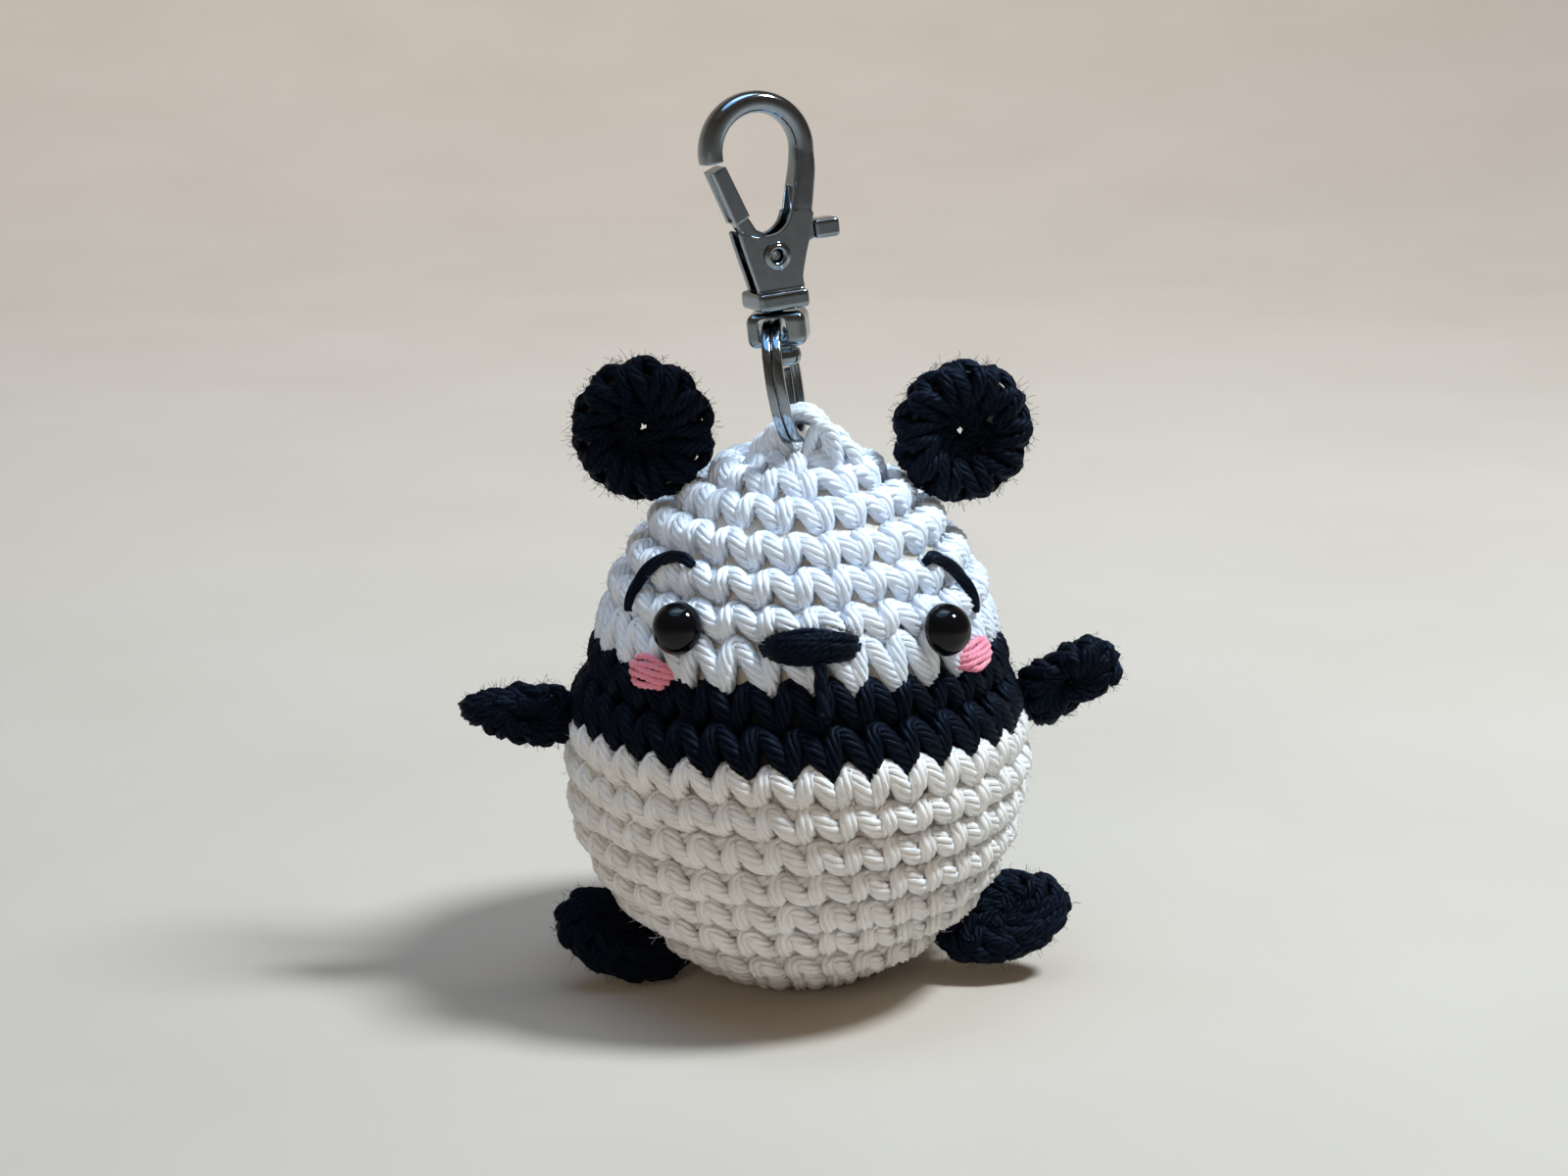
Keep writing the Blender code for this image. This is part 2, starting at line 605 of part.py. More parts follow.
def build_swivel(pivot):
    """The barrel that the ring runs through, with its knob, and the stem that the clasp turns on."""
    half_w, half_d = BARREL_WIDTH / 2, BARREL_DEPTH / 2
    frame = swivel_frame()
    barrel = add_object("swivel_barrel", box((-half_w, -half_d, BARREL_BOTTOM), (half_w, half_d, BARREL_TOP),
                                             0.8, 3), "nickel", frame)
    window = box((WINDOW_LEFT, -10, WINDOW_BOTTOM), (WINDOW_RIGHT, 10, WINDOW_TOP), 0.4, 2)
    combine(barrel, [add_object("cutter", window, "nickel", frame)], "DIFFERENCE")
    bead = (KNOB_BOTTOM + BARREL_BOTTOM - 0.4) / 2
    knob = [(0.0, KNOB_BOTTOM), (KNOB_RADIUS - 0.5, KNOB_BOTTOM), (KNOB_RADIUS - 0.12, KNOB_BOTTOM + 0.3),
            (KNOB_RADIUS, bead), (KNOB_RADIUS - 0.12, BARREL_BOTTOM - 0.7),
            (KNOB_RADIUS - 0.5, BARREL_BOTTOM - 0.4), (1.75, BARREL_BOTTOM - 0.35),
            (1.75, BARREL_BOTTOM + 0.4), (0.0, BARREL_BOTTOM + 0.4)]
    head_low = COLLAR_TOP + RIVET_GAP
    stem = [(0.0, BARREL_TOP - 0.3), (STEM_RADIUS, BARREL_TOP - 0.3), (STEM_RADIUS, head_low),
            (STEM_HEAD_RADIUS, head_low), (STEM_HEAD_RADIUS, STEM_HEAD_TOP - 0.25),
            (STEM_HEAD_RADIUS - 0.3, STEM_HEAD_TOP), (0.0, STEM_HEAD_TOP)]
    extras = [add_object("cutter", lathe(knob, 24), "nickel", frame),
              add_object("cutter", lathe(stem, 16), "nickel", frame)]
    combine(barrel, extras, "UNION")
    finish_combined(barrel, "nickel")
    hang(barrel, pivot)


def hook_path():
    """The middle of the hook's bar: from the tip, over the top, and down the right limb."""
    arc = []
    steps = 16
    middle, height = HOOK_CENTRE
    for k in range(steps + 1):
        angle = math.radians(HOOK_TIP_ANGLE + (-8.0 - HOOK_TIP_ANGLE) * k / steps)
        arc.append((middle + HOOK_RADIUS * math.cos(angle), 0.0, height + HOOK_RADIUS * math.sin(angle)))
    return arc + [(4.45, 0.0, 22.4), (3.7, 0.0, 19.2), (3.1, 0.0, 16.8)]


def build_clasp_frame(pivot):
    """The cast frame: collar, two cheeks with a slot between them, and the hook."""
    frame = clasp_frame_matrix()
    half_w, half_d = COLLAR_WIDTH / 2, COLLAR_DEPTH / 2
    cheeks = [(-2.5, COLLAR_TOP - 0.4), (2.6, COLLAR_TOP - 0.4), (3.7, 14.6), (4.9, 18.6), (5.0, 19.4),
              (2.4, 19.8), (2.15, 19.1), (1.7, 18.4), (0.6, 17.65), (-1.0, 17.4), (-2.6, 17.6),
              (-3.9, 18.2), (-4.2, 17.8), (-3.6, 15.0)]
    body = add_object("clasp_frame", prism(cheeks, PLATE_DEPTH / 2), "nickel", frame)
    hook = tube(hook_path(), HOOK_BAR / 2, sides=12, depth=HOOK_DEPTH / 2)
    collar = box((-half_w, -half_d, COLLAR_BOTTOM), (half_w, half_d, COLLAR_TOP), 0.5, 2)
    combine(body, [add_object("cutter", hook, "nickel", frame), add_object("cutter", collar, "nickel", frame)],
            "UNION")
    slot = box((-8.0, -SLOT_HALF, COLLAR_TOP), (8.0, SLOT_HALF, SLOT_TOP))
    relief = box((0.5, -SLOT_HALF, SLOT_TOP - 0.5), (3.6, SLOT_HALF, 22.6))
    stem_hole = lathe([(0.0, 5.0), (STEM_HOLE, 5.0), (STEM_HOLE, COLLAR_TOP + 0.5), (0.0, COLLAR_TOP + 0.5)], 16)
    rivet_hole = lathe([(0.0, -5.0), (RIVET_RADIUS + RIVET_GAP, -5.0), (RIVET_RADIUS + RIVET_GAP, 5.0),
                        (0.0, 5.0)], 16)
    across = frame @ Matrix.Translation((0.0, 0.0, RIVET_HEIGHT)) @ rotation("X", 90.0)
    cutters = [add_object("cutter", slot, "nickel", frame), add_object("cutter", relief, "nickel", frame),
               add_object("cutter", stem_hole, "nickel", frame),
               add_object("cutter", rivet_hole, "nickel", across)]
    combine(body, cutters, "DIFFERENCE")
    finish_combined(body, "nickel")
    hang(body, pivot)


def build_rivet(pivot):
    """A hollow rivet through the cheeks, which the gate turns on."""
    across = clasp_frame_matrix() @ Matrix.Translation((0.0, 0.0, RIVET_HEIGHT)) @ rotation("X", 90.0)
    seat = PLATE_DEPTH / 2 + RIVET_GAP
    top = seat + 0.35
    outline = [(RIVET_BORE, -top), (RIVET_HEAD - 0.3, -top), (RIVET_HEAD, -seat - 0.1), (RIVET_HEAD, -seat),
               (RIVET_RADIUS, -seat), (RIVET_RADIUS, seat), (RIVET_HEAD, seat), (RIVET_HEAD, seat + 0.1),
               (RIVET_HEAD - 0.3, top), (RIVET_BORE, top)]
    rivet = add_object("gate_rivet", lathe(outline, 20), "nickel", across)
    hang(rivet, pivot)


def build_gate(pivot):
    """The gate: a channel arm that closes the hook, a hub on the rivet, and the thumb lever."""
    frame = clasp_frame_matrix()
    neck = [(-1.9, 15.2), (-0.9, 13.3), (0.6, 13.0), (1.9, 14.2), (3.6, 15.6), (5.4, 16.3), (5.4, 18.2),
            (4.2, 18.0), (2.2, 16.9), (0.4, 17.0), (-1.8, 18.2), (-3.0, 20.4), (-4.6, 19.6)]
    gate = add_object("gate", prism(neck, GATE_NECK_HALF), "nickel", frame)
    arm = [(-6.65, 25.4), (-5.0, 26.05), (-2.7, 20.0), (-4.5, 19.2)]
    arm_bm = prism(arm, GATE_HALF_DEPTH)
    bmesh.ops.bevel(arm_bm, geom=arm_bm.edges[:], offset=0.3, segments=2, profile=0.5, affect="EDGES")
    tab = box((5.3, -TAB_HALF_DEPTH, 16.1), (8.5, TAB_HALF_DEPTH, 18.4), 0.45, 2)
    combine(gate, [add_object("cutter", arm_bm, "nickel", frame), add_object("cutter", tab, "nickel", frame)],
            "UNION")
    across = frame @ Matrix.Translation((0.0, 0.0, RIVET_HEIGHT)) @ rotation("X", 90.0)
    hole = RIVET_RADIUS + RIVET_GAP
    bore = lathe([(0.0, -5.0), (hole, -5.0), (hole, 5.0), (0.0, 5.0)], 16)
    room = SPRING_RADIUS + SPRING_WIRE + 0.35
    pocket = lathe([(0.0, -3.0), (room, -3.0), (room, 0.1), (0.0, 0.1)], 16)
    combine(gate, [add_object("cutter", bore, "nickel", across), add_object("cutter", pocket, "nickel", across)],
            "DIFFERENCE")
    finish_combined(gate, "nickel")
    hang(gate, pivot)


def build_spring(pivot):
    """The torsion spring that shuts the gate: a coil round the rivet with two short legs."""
    frame = clasp_frame_matrix() @ Matrix.Translation((0.0, 0.0, RIVET_HEIGHT))
    start, turns, steps = math.radians(250.0), SPRING_TURNS, 26
    coil = []
    for k in range(steps + 1):
        share = k / steps
        angle = start - 2 * math.pi * turns * share
        coil.append(Vector((SPRING_RADIUS * math.cos(angle), 0.2 + 0.5 * share, SPRING_RADIUS * math.sin(angle))))
    first_leg = coil[0] + Vector((0.5, 0.0, -1.4))
    last_leg = coil[-1] + Vector((-0.25, 0.0, 0.3))
    wire = [first_leg] + coil + [last_leg]
    spring = add_object("gate_spring", tube(wire, SPRING_WIRE, sides=6), "spring_steel", frame)
    hang(spring, pivot)


def build_clasp():
    """The chain of moving hardware, each link on its own pivot."""
    ring_bottom = ring_frame() @ Vector((0.0, 0.0, -RING_RADIUS))
    stem_foot = swivel_frame() @ Vector((0.0, 0.0, BARREL_TOP))
    rivet_centre = clasp_frame_matrix() @ Vector((0.0, 0.0, RIVET_HEIGHT))
    build_hanging_loop()
    build_ring(pivot_empty("ring_pivot", ring_bottom))
    build_swivel(pivot_empty("ring_centre_pivot", RING_CENTRE))
    swivel_pivot = pivot_empty("swivel_pivot", stem_foot)
    build_clasp_frame(swivel_pivot)
    build_rivet(swivel_pivot)
    gate_pivot = pivot_empty("gate_pivot", rivet_centre)
    build_gate(gate_pivot)
    build_spring(gate_pivot)


def main():
    for old in list(bpy.data.objects):
        bpy.data.objects.remove(old, do_unlink=True)
    covers = build_covers()
    stuffing = build_stuffing()
    build_eyes(covers["head_cover"], stuffing)
    finish_combined(covers["head_cover"], "white_yarn")
    finish_combined(stuffing, "stuffing")
    build_face()
    build_ears()
    build_arms()
    build_feet()
    build_clasp()


main()
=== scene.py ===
"""Looks for the crocheted bear keychain: yarn, embroidery, safety eyes and nickel-plated hardware."""
import math

import bmesh
import bpy
import numpy as np
from mathutils import Matrix, Vector


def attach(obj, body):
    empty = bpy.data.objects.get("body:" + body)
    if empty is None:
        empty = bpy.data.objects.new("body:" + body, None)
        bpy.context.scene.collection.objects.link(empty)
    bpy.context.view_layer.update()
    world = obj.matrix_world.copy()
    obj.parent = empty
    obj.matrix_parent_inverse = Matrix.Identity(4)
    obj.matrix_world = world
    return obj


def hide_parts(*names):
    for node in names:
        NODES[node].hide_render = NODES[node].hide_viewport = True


MM = 0.001
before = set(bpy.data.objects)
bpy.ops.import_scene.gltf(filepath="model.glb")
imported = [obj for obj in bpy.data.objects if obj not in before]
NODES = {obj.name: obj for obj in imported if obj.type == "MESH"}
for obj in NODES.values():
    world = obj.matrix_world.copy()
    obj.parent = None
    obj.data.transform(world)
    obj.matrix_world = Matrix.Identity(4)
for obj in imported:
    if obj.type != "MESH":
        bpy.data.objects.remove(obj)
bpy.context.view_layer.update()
random = np.random.default_rng(11)


# ---- node materials ----------------------------------------------------------------------------
class Nodes:
    """A small helper that builds a Principled material from nodes."""

    def __init__(self, name):
        self.material = bpy.data.materials.new(name)
        self.material.use_nodes = True
        self.tree = self.material.node_tree
        self.shader = self.tree.nodes["Principled BSDF"]

    def add(self, kind, links=None, **settings):
        node = self.tree.nodes.new("ShaderNode" + kind)
        for key, value in settings.items():
            if key.startswith("_"):
                setattr(node, key[1:], value)
            else:
                node.inputs[key.replace("__", " ")].default_value = value
        for key, source in (links or {}).items():
            self.tree.links.new(source, node.inputs[key])
        return node

    def set(self, **values):
        for key, value in values.items():
            self.shader.inputs[key.replace("__", " ")].default_value = value

    def link(self, source, socket):
        self.tree.links.new(source, self.shader.inputs[socket])

    def ramp(self, source, stops):
        node = self.add("ValToRGB", {"Fac": source})
        elements = node.color_ramp.elements
        while len(elements) < len(stops):
            elements.new(0.5)
        for element, (place, color) in zip(elements, stops):
            element.position = place
            element.color = (*color, 1.0)
        return node.outputs["Color"]


def yarn_material(name, light, dark, roughness=0.38, sheen=0.25, sheen_tint=(1, 1, 1), bump=0.75, sss=0.0,
                  specular=0.5, specular_tint=(1, 1, 1)):
    """Spun yarn: fine fibres that run along each ply, uneven dye, and a soft sheen."""
    n = Nodes(name)
    uv = n.add("TexCoord").outputs["UV"]
    stretched = n.add("Mapping", {"Vector": uv})
    stretched.inputs["Scale"].default_value = (0.3, 2.6, 1.0)
    fibre = n.add("TexNoise", {"Vector": stretched.outputs["Vector"]}, Scale=3.0, Detail=3.0, Roughness=0.6)
    spot = n.add("TexCoord").outputs["Object"]
    uneven = n.add("TexNoise", {"Vector": spot}, Scale=260.0, Detail=2.0)
    mixed = n.add("Math", {0: fibre.outputs["Fac"], 1: uneven.outputs["Fac"]}, _operation="ADD")
    half = n.add("Math", {0: mixed.outputs["Value"]}, _operation="MULTIPLY")
    half.inputs[1].default_value = 0.5
    n.link(n.ramp(half.outputs["Value"], [(0.32, dark), (0.62, light)]), "Base Color")
    bumped = n.add("Bump", {"Height": fibre.outputs["Fac"]}, Strength=bump, Distance=0.00022)
    n.link(bumped.outputs["Normal"], "Normal")
    n.set(Roughness=roughness, Sheen__Weight=sheen, Sheen__Roughness=0.4, Sheen__Tint=(*sheen_tint, 1.0),
          Specular__IOR__Level=specular, Specular__Tint=(*specular_tint, 1.0), Subsurface__Weight=sss,
          Subsurface__Radius=(0.6, 0.5, 0.45), Subsurface__Scale=0.0012)
    return n.material


PATCHY = 1 - 0.06 * 2       # how much darker the darkest patches of a plain finish are


def plain_material(name, color, roughness, metallic=0.0, scale=900.0, bump=0.1, specular=0.5):
    """Moulded plastic or metal with faint unevenness in its finish."""
    n = Nodes(name)
    spot = n.add("TexCoord").outputs["Object"]
    cloud = n.add("TexNoise", {"Vector": spot}, Scale=scale, Detail=4.0)
    low = tuple(c * PATCHY for c in color)
    n.link(n.ramp(cloud.outputs["Fac"], [(0.3, low), (0.6, color)]), "Base Color")
    rough = n.add("MapRange", {"Value": cloud.outputs["Fac"]})
    rough.inputs["To Min"].default_value = roughness * 0.8
    rough.inputs["To Max"].default_value = roughness * 1.35
    n.link(rough.outputs["Result"], "Roughness")
    bumped = n.add("Bump", {"Height": cloud.outputs["Fac"]}, Strength=bump, Distance=0.00003)
    n.link(bumped.outputs["Normal"], "Normal")
    n.set(Metallic=metallic, Specular__IOR__Level=specular)
    return n.material


# The head's white yarn is tinted blue: painted cool skylight from above.
SKY_TINTED_WHITE = yarn_material("white_cotton_painted_skylight", (0.86, 0.92, 1.0), (0.76, 0.83, 0.94), sss=0.1)
# The belly's copy of the white yarn is tinted warm: painted warm bounce light from the floor.
BOUNCE_TINTED_WHITE = yarn_material("white_cotton_painted_floor_bounce", (0.94, 0.92, 0.905), (0.81, 0.785, 0.745), sss=0.1)
BLACK = yarn_material("black_cotton", (0.0035, 0.0045, 0.009), (0.0012, 0.0015, 0.003), roughness=0.55,
                      sheen=0.012, sheen_tint=(0.3, 0.55, 1.0), bump=0.6, specular=0.16,
                      specular_tint=(0.35, 0.6, 1.0))
PINK = yarn_material("pink_floss", (0.93, 0.36, 0.46), (0.80, 0.20, 0.29), roughness=0.42, sheen=0.3, bump=0.3)
# The white underlayer is a darker brownish copy of the white yarn: painted shade in the gaps between stitches.
WHITE_GAP_PAINTED_SHADE = yarn_material("white_underlayer_painted_shade", (0.66, 0.60, 0.52), (0.45, 0.39, 0.32), sheen=0.1)
BLACK_GAP = yarn_material("black_underlayer", (0.004, 0.004, 0.007), (0.002, 0.002, 0.003), sheen=0.05)
FILLING = yarn_material("fibre_filling", (0.88, 0.87, 0.84), (0.70, 0.69, 0.66), sheen=0.5)
# Nickel plate with its base colour darkened and tinted blue: a painted reflection of a dark room.
NICKEL_PAINTED_DARK_REFLECTION = plain_material("nickel_plate_painted_dark_reflection", (0.29, 0.34, 0.385), 0.10, metallic=1.0, scale=700.0, bump=0.05)
STEEL = plain_material("spring_wire", (0.5, 0.5, 0.52), 0.25, metallic=1.0, scale=2500.0)
GLOSS = plain_material("eye_plastic", (0.003, 0.003, 0.004), 0.05, scale=400.0, bump=0.01, specular=0.24)
NYLON = plain_material("washer_nylon", (0.82, 0.82, 0.78), 0.4, scale=1500.0)


# ---- yarn geometry, in millimetres -------------------------------------------------------------
def unit(v):
    return v / np.maximum(np.linalg.norm(v, axis=-1, keepdims=True), 1e-9)


class Yarn:
    """Collects plied strands into one mesh."""

    def __init__(self):
        self.points, self.faces, self.uvs, self.slots = [], [], [], []
        self.count = 0

    def strand(self, path, normals, radius=1.1, plies=6, pitch=7.3, sides=5, closed=False, flat=1.0,
               taper=None, phase=0.0, slot=0):
        """Twisted plies round a path. flat squeezes the strand along its normals."""
        path, normals = np.asarray(path, float), np.asarray(normals, float)
        count = len(path)
        if closed:
            ahead = np.roll(path, -1, 0) - np.roll(path, 1, 0)
        else:
            ahead = np.gradient(path, axis=0)
        tangent = unit(ahead)
        up = unit(normals - (normals * tangent).sum(1, keepdims=True) * tangent)
        side = np.cross(tangent, up)
        steps = np.linalg.norm(np.diff(path, axis=0, append=path[:1]), axis=1)
        length = np.concatenate([[0.0], np.cumsum(steps)])
        total = length[-1] if closed else length[-2]
        turns = total / pitch
        if closed:
            turns = max(round(turns * plies), 1) / plies
        thin = radius * math.sin(math.pi / plies) / (1 + math.sin(math.pi / plies)) * 1.35 if plies > 1 else radius
        off = radius - thin if plies > 1 else 0.0
        size = np.ones(count) if taper is None else np.asarray(taper, float)
        around = np.arange(sides) / sides * 2 * math.pi
        for k in range(plies):
            angle = phase + 2 * math.pi * (k / plies + turns * length[:count] / total)
            center = path + (side * np.cos(angle)[:, None] + up * flat * np.sin(angle)[:, None]) \
                * (off * size)[:, None]
            ring = (side[:, None] * np.cos(around)[None, :, None]
                    + up[:, None] * flat * np.sin(around)[None, :, None]) * (thin * size)[:, None, None]
            points = (center[:, None] + ring).reshape(-1, 3)
            self._tube(points, count, sides, closed, length, k, slot)

    def _tube(self, points, count, sides, closed, length, k, slot):
        base = self.count
        i = np.arange(count if closed else count - 1)
        j = np.arange(sides)
        a, b = np.meshgrid(i, j, indexing="ij")
        a2, b2 = (a + 1) % count, (b + 1) % sides
        quads = np.stack([a * sides + b, a * sides + b2, a2 * sides + b2, a2 * sides + b], -1).reshape(-1, 4)
        u0, u1 = length[a], length[a + 1]
        v0, v1 = k + b / sides, k + (b + 1) / sides
        uv = np.stack([np.stack([u0, v0], -1), np.stack([u0, v1], -1), np.stack([u1, v1], -1),
                       np.stack([u1, v0], -1)], 2).reshape(-1, 4, 2)
        self.points.append(points)
        self.faces.append(quads + base)
        self.uvs.append(uv)
        self.slots.append(np.full(len(quads), slot))
        self.count += len(points)
        if not closed:
            for start, order in ((0, 1), ((count - 1) * sides, -1)):
                tip = points[start:start + sides].mean(0)
                self.points.append(tip[None])
                fan = np.stack([start + base + (j + 1) % sides, start + base + j,
                                np.full(sides, self.count), np.full(sides, self.count)], -1)
                fan = fan[:, ::order] if order == 1 else fan[:, [1, 0, 2, 3]]
                self.faces.append(fan)
                self.uvs.append(np.zeros((sides, 4, 2)))
                self.slots.append(np.full(sides, slot))
                self.count += 1

    def grid(self, points, closed_across=True, slot=1):
        """A plain surface through a grid of points (rows, columns, 3)."""
        rows, columns = points.shape[:2]
        base = self.count
        i, j = np.meshgrid(np.arange(rows - 1), np.arange(columns if closed_across else columns - 1),
                           indexing="ij")
        j2 = (j + 1) % columns
        quads = np.stack([i * columns + j, i * columns + j2, (i + 1) * columns + j2, (i + 1) * columns + j],
                         -1).reshape(-1, 4) + base
        flat = points.reshape(-1, 3)
        self.points.append(flat)
        self.faces.append(quads)
        self.uvs.append(np.zeros((len(quads), 4, 2)) + np.stack([i, j], -1).reshape(-1, 1, 2))
        self.slots.append(np.full(len(quads), slot))
        self.count += len(flat)

    def build(self, name, materials, matrix=None):
        points = np.concatenate(self.points) * MM
        faces, uvs = np.concatenate(self.faces), np.concatenate(self.uvs)
        triangles = faces[:, 2] == faces[:, 3]
        sizes = np.where(triangles, 3, 4)
        keep = np.ones(faces.shape, bool)
        keep[triangles, 3] = False
        mesh = bpy.data.meshes.new(name)
        mesh.vertices.add(len(points))
        mesh.vertices.foreach_set("co", points.astype(np.float32).ravel())
        mesh.loops.add(int(sizes.sum()))
        mesh.loops.foreach_set("vertex_index", faces[keep].astype(np.int32))
        mesh.polygons.add(len(faces))
        mesh.polygons.foreach_set("loop_start", np.concatenate([[0], np.cumsum(sizes)[:-1]]).astype(np.int32))
        mesh.polygons.foreach_set("material_index", np.concatenate(self.slots).astype(np.int32))
        layer = mesh.uv_layers.new(name="strand")
        mesh.update(calc_edges=True)
        layer.data.foreach_set("uv", uvs[keep].astype(np.float32).ravel())
        mesh.shade_smooth()
        made = bpy.data.objects.new(name, mesh)
        for m in materials:
            mesh.materials.append(m)
        if matrix is not None:
            mesh.transform(Matrix.Translation(matrix.translation * MM) @ matrix.to_3x3().to_4x4())
        bpy.context.scene.collection.objects.link(made)
        return made


# ---- the surfaces that are crocheted -----------------------------------------------------------
def spline(points, steps=12):
    """A smooth line through points, which keeps its end slopes."""
    p = np.asarray(points, float)
    p = np.vstack([2 * p[0] - p[1], p, 2 * p[-1] - p[-2]])
    t = np.arange(steps)[:, None] / steps
    parts = []
    for a, b, c, d in zip(p[:-3], p[1:-2], p[2:-1], p[3:]):
        parts.append(0.5 * (2 * b + (c - a) * t + (2 * a - 5 * b + 4 * c - d) * t ** 2
                            + (3 * b - a - 3 * c + d) * t ** 3))
    return np.vstack(parts + [p[-2][None]])


class Turned:
    """A surface of revolution about Z. A place on it is (share of a turn from the front, distance, lift)."""

    def __init__(self, outline):
        line = spline(outline)
        line[:, 0] = np.maximum(line[:, 0], 0.0)
        steps = np.linalg.norm(np.diff(line, axis=0), axis=1)
        self.s = np.concatenate([[0], np.cumsum(steps)])
        slope = unit(np.gradient(line, axis=0))
        self.line, self.out = line, np.stack([slope[:, 1], -slope[:, 0]], 1)

    def at(self, turn, s, lift=0.0):
        r, z = (np.interp(s, self.s, self.line[:, i]) for i in (0, 1))
        nr, nz = (np.interp(s, self.s, self.out[:, i]) for i in (0, 1))
        angle = 2 * math.pi * turn
        across = np.stack([np.sin(angle), -np.cos(angle), 0 * angle], -1)
        normal = unit(across * nr[..., None] + np.array([0, 0, 1.0]) * nz[..., None])
        point = across * r[..., None] + np.array([0, 0, 1.0]) * z[..., None]
        return point + normal * np.asarray(lift)[..., None], normal

    def arc_of_height(self, z):
        return float(np.interp(z, self.line[:, 1], self.s))

    def shell(self, low, high, lift, rows=24, columns=72):
        s = np.linspace(low, high, rows)
        turn = np.arange(columns) / columns
        grid_s, grid_t = np.meshgrid(s, turn, indexing="ij")
        return self.at(grid_t, grid_s, lift)[0]


def smooth_noise(count, spread):
    """Random values for stitches, a little like their neighbours."""
    values = random.normal(0, 1, count)
    return spread * (0.7 * values + 0.3 * np.roll(values, 1))


STITCH_STEPS = 18           # points along the yarn in each stitch


def stitch_round(yarn, surface, s_mid, count, start=0.0, height=1.65, radius=1.27, plies=7, pitch=8.5,
                 narrow=0.04, lean=0.15, lift=(0.66, 0.40, -1.30), wobble=1.5, lift_add=0.0, flat=0.92,
                 direction=1.0):
    """One round of single crochet: a yarn that zigzags up and down, once for each stitch.

    s_mid is the round's place along the surface, height the zigzag's half height, and lift how far the yarn
    stands off at its middle, with the share and the squared share of the rise.
    """
    t = np.arange(count * STITCH_STEPS) / STITCH_STEPS
    k, f = np.floor(t).astype(int) % count, t % 1.0
    rise = -np.cos(2 * math.pi * f)
    tall = height * (1 + smooth_noise(count, 0.06 * wobble))
    shift = smooth_noise(count, 0.045 * wobble)
    drop = smooth_noise(count, 0.16 * wobble)
    bulge = smooth_noise(count, 0.12 * wobble)

    def eased(values):
        """Per-stitch values that change smoothly from stitch to stitch."""
        g = f * f * (3 - 2 * f)
        return values[k] * (1 - g) + values[(k + 1) % count] * g

    across = t - narrow * np.sin(2 * math.pi * f) / (2 * math.pi) - lean * rise + eased(shift)
    along = s_mid + direction * (eased(tall) * rise + eased(drop))
    out = lift[0] + lift[1] * rise + lift[2] * rise ** 2 + eased(bulge) + lift_add
    path, normal = surface.at(start + across / count, along, out)
    yarn.strand(path, normal, radius=radius, plies=plies, pitch=pitch, closed=True, flat=flat,
                phase=random.uniform(0, 6.28), sides=4)


BODY = Turned([(0.0, 0.0), (5.0, 0.0), (9.0, 0.1), (13.2, 2.2), (20.3, 7.5), (26.3, 16.5), (28.3, 26.0),
               (27.7, 34.5), (25.1, 42.0), (22.4, 50.5), (17.0, 58.6), (9.5, 64.4), (3.6, 66.1), (0.0, 66.2)])
ROUND_DRIFT = -0.17         # each round starts this share of a stitch further round
INSET = 1.45                # the yarn's centre lies this far inside the toy's outline
BACKING_DEPTH = 2.5         # and the strand behind it this far
LINER_DEPTH = 2.1           # and the underlayer this far


def body_rounds(yarn, rounds, first):
    """Rounds of stitches, each over a plain strand that fills the gaps behind it."""
    for i, (height, count, *own) in enumerate(rounds):
        s = abs(height if height < 0 else BODY.arc_of_height(height))
        stitch_round(yarn, BODY, s, count, start=ROUND_DRIFT * (first + i) / count, lift_add=-INSET,
                     **(own[0] if own else {}))
        turn = np.arange(count * 5) / (count * 5)
        back, normal = BODY.at(turn, np.full(len(turn), s + 1.0), np.full(len(turn), -BACKING_DEPTH))
        yarn.strand(back, normal, radius=1.3, plies=5, pitch=8.0, closed=True, sides=4)


# A round is (height, stitches, own settings). A height below zero is a distance from the base's middle,
# along the surface.
TALL = dict(height=2.05, lean=0.09, lift=(0.58, 0.55, -1.05))
LONG_POINTS = dict(height=2.65, lift=(0.55, 0.10, -0.55), narrow=0.3)
BASE_ROUNDS = [(-1.6, 5), (-5.4, 9), (-9.6, 14), (-14.0, 20), (-18.4, 25), (9.9, 29), (14.0, 32)]
BELLY_LOW = [(18.4, 35), (22.9, 36)]
BELLY_HIGH = [(27.3, 36), (31.6, 36, TALL)]
BAND = [(36.0, 35, dict(LONG_POINTS, height=2.4)), (40.9, 32, TALL)]
HEAD_LOW = [(45.1, 29, LONG_POINTS), (50.0, 28), (54.1, 27)]
HEAD_HIGH = [(58.1, 24), (61.7, 18), (64.4, 12), (65.9, 6)]
ARC = BODY.arc_of_height


def soft_piece(yarn, name, materials, body, node):
    """Builds a padded crochet piece and ties it to its body, its CAD node and its finish."""
    piece = yarn.build(name, materials)
    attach(piece, body)
    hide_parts(node)


BODY_PIECES = [("belly_base_rounds", "belly_cover", BASE_ROUNDS, BOUNCE_TINTED_WHITE, (0.0, ARC(16.6))),
               ("belly_lower_rounds", "belly_cover", BELLY_LOW, BOUNCE_TINTED_WHITE, (ARC(16.2), ARC(25.4))),
               ("belly_upper_rounds", "belly_cover", BELLY_HIGH, BOUNCE_TINTED_WHITE, (ARC(25.0), ARC(33.6))),
               ("chest_band_rounds", "chest_band", BAND, BLACK, (ARC(33.4), ARC(43.4))),
               ("head_lower_rounds", "head_cover", HEAD_LOW, SKY_TINTED_WHITE, (ARC(43.2), ARC(56.4))),
               ("head_upper_rounds", "head_cover", HEAD_HIGH, SKY_TINTED_WHITE, (ARC(56.0), BODY.s[-1]))]


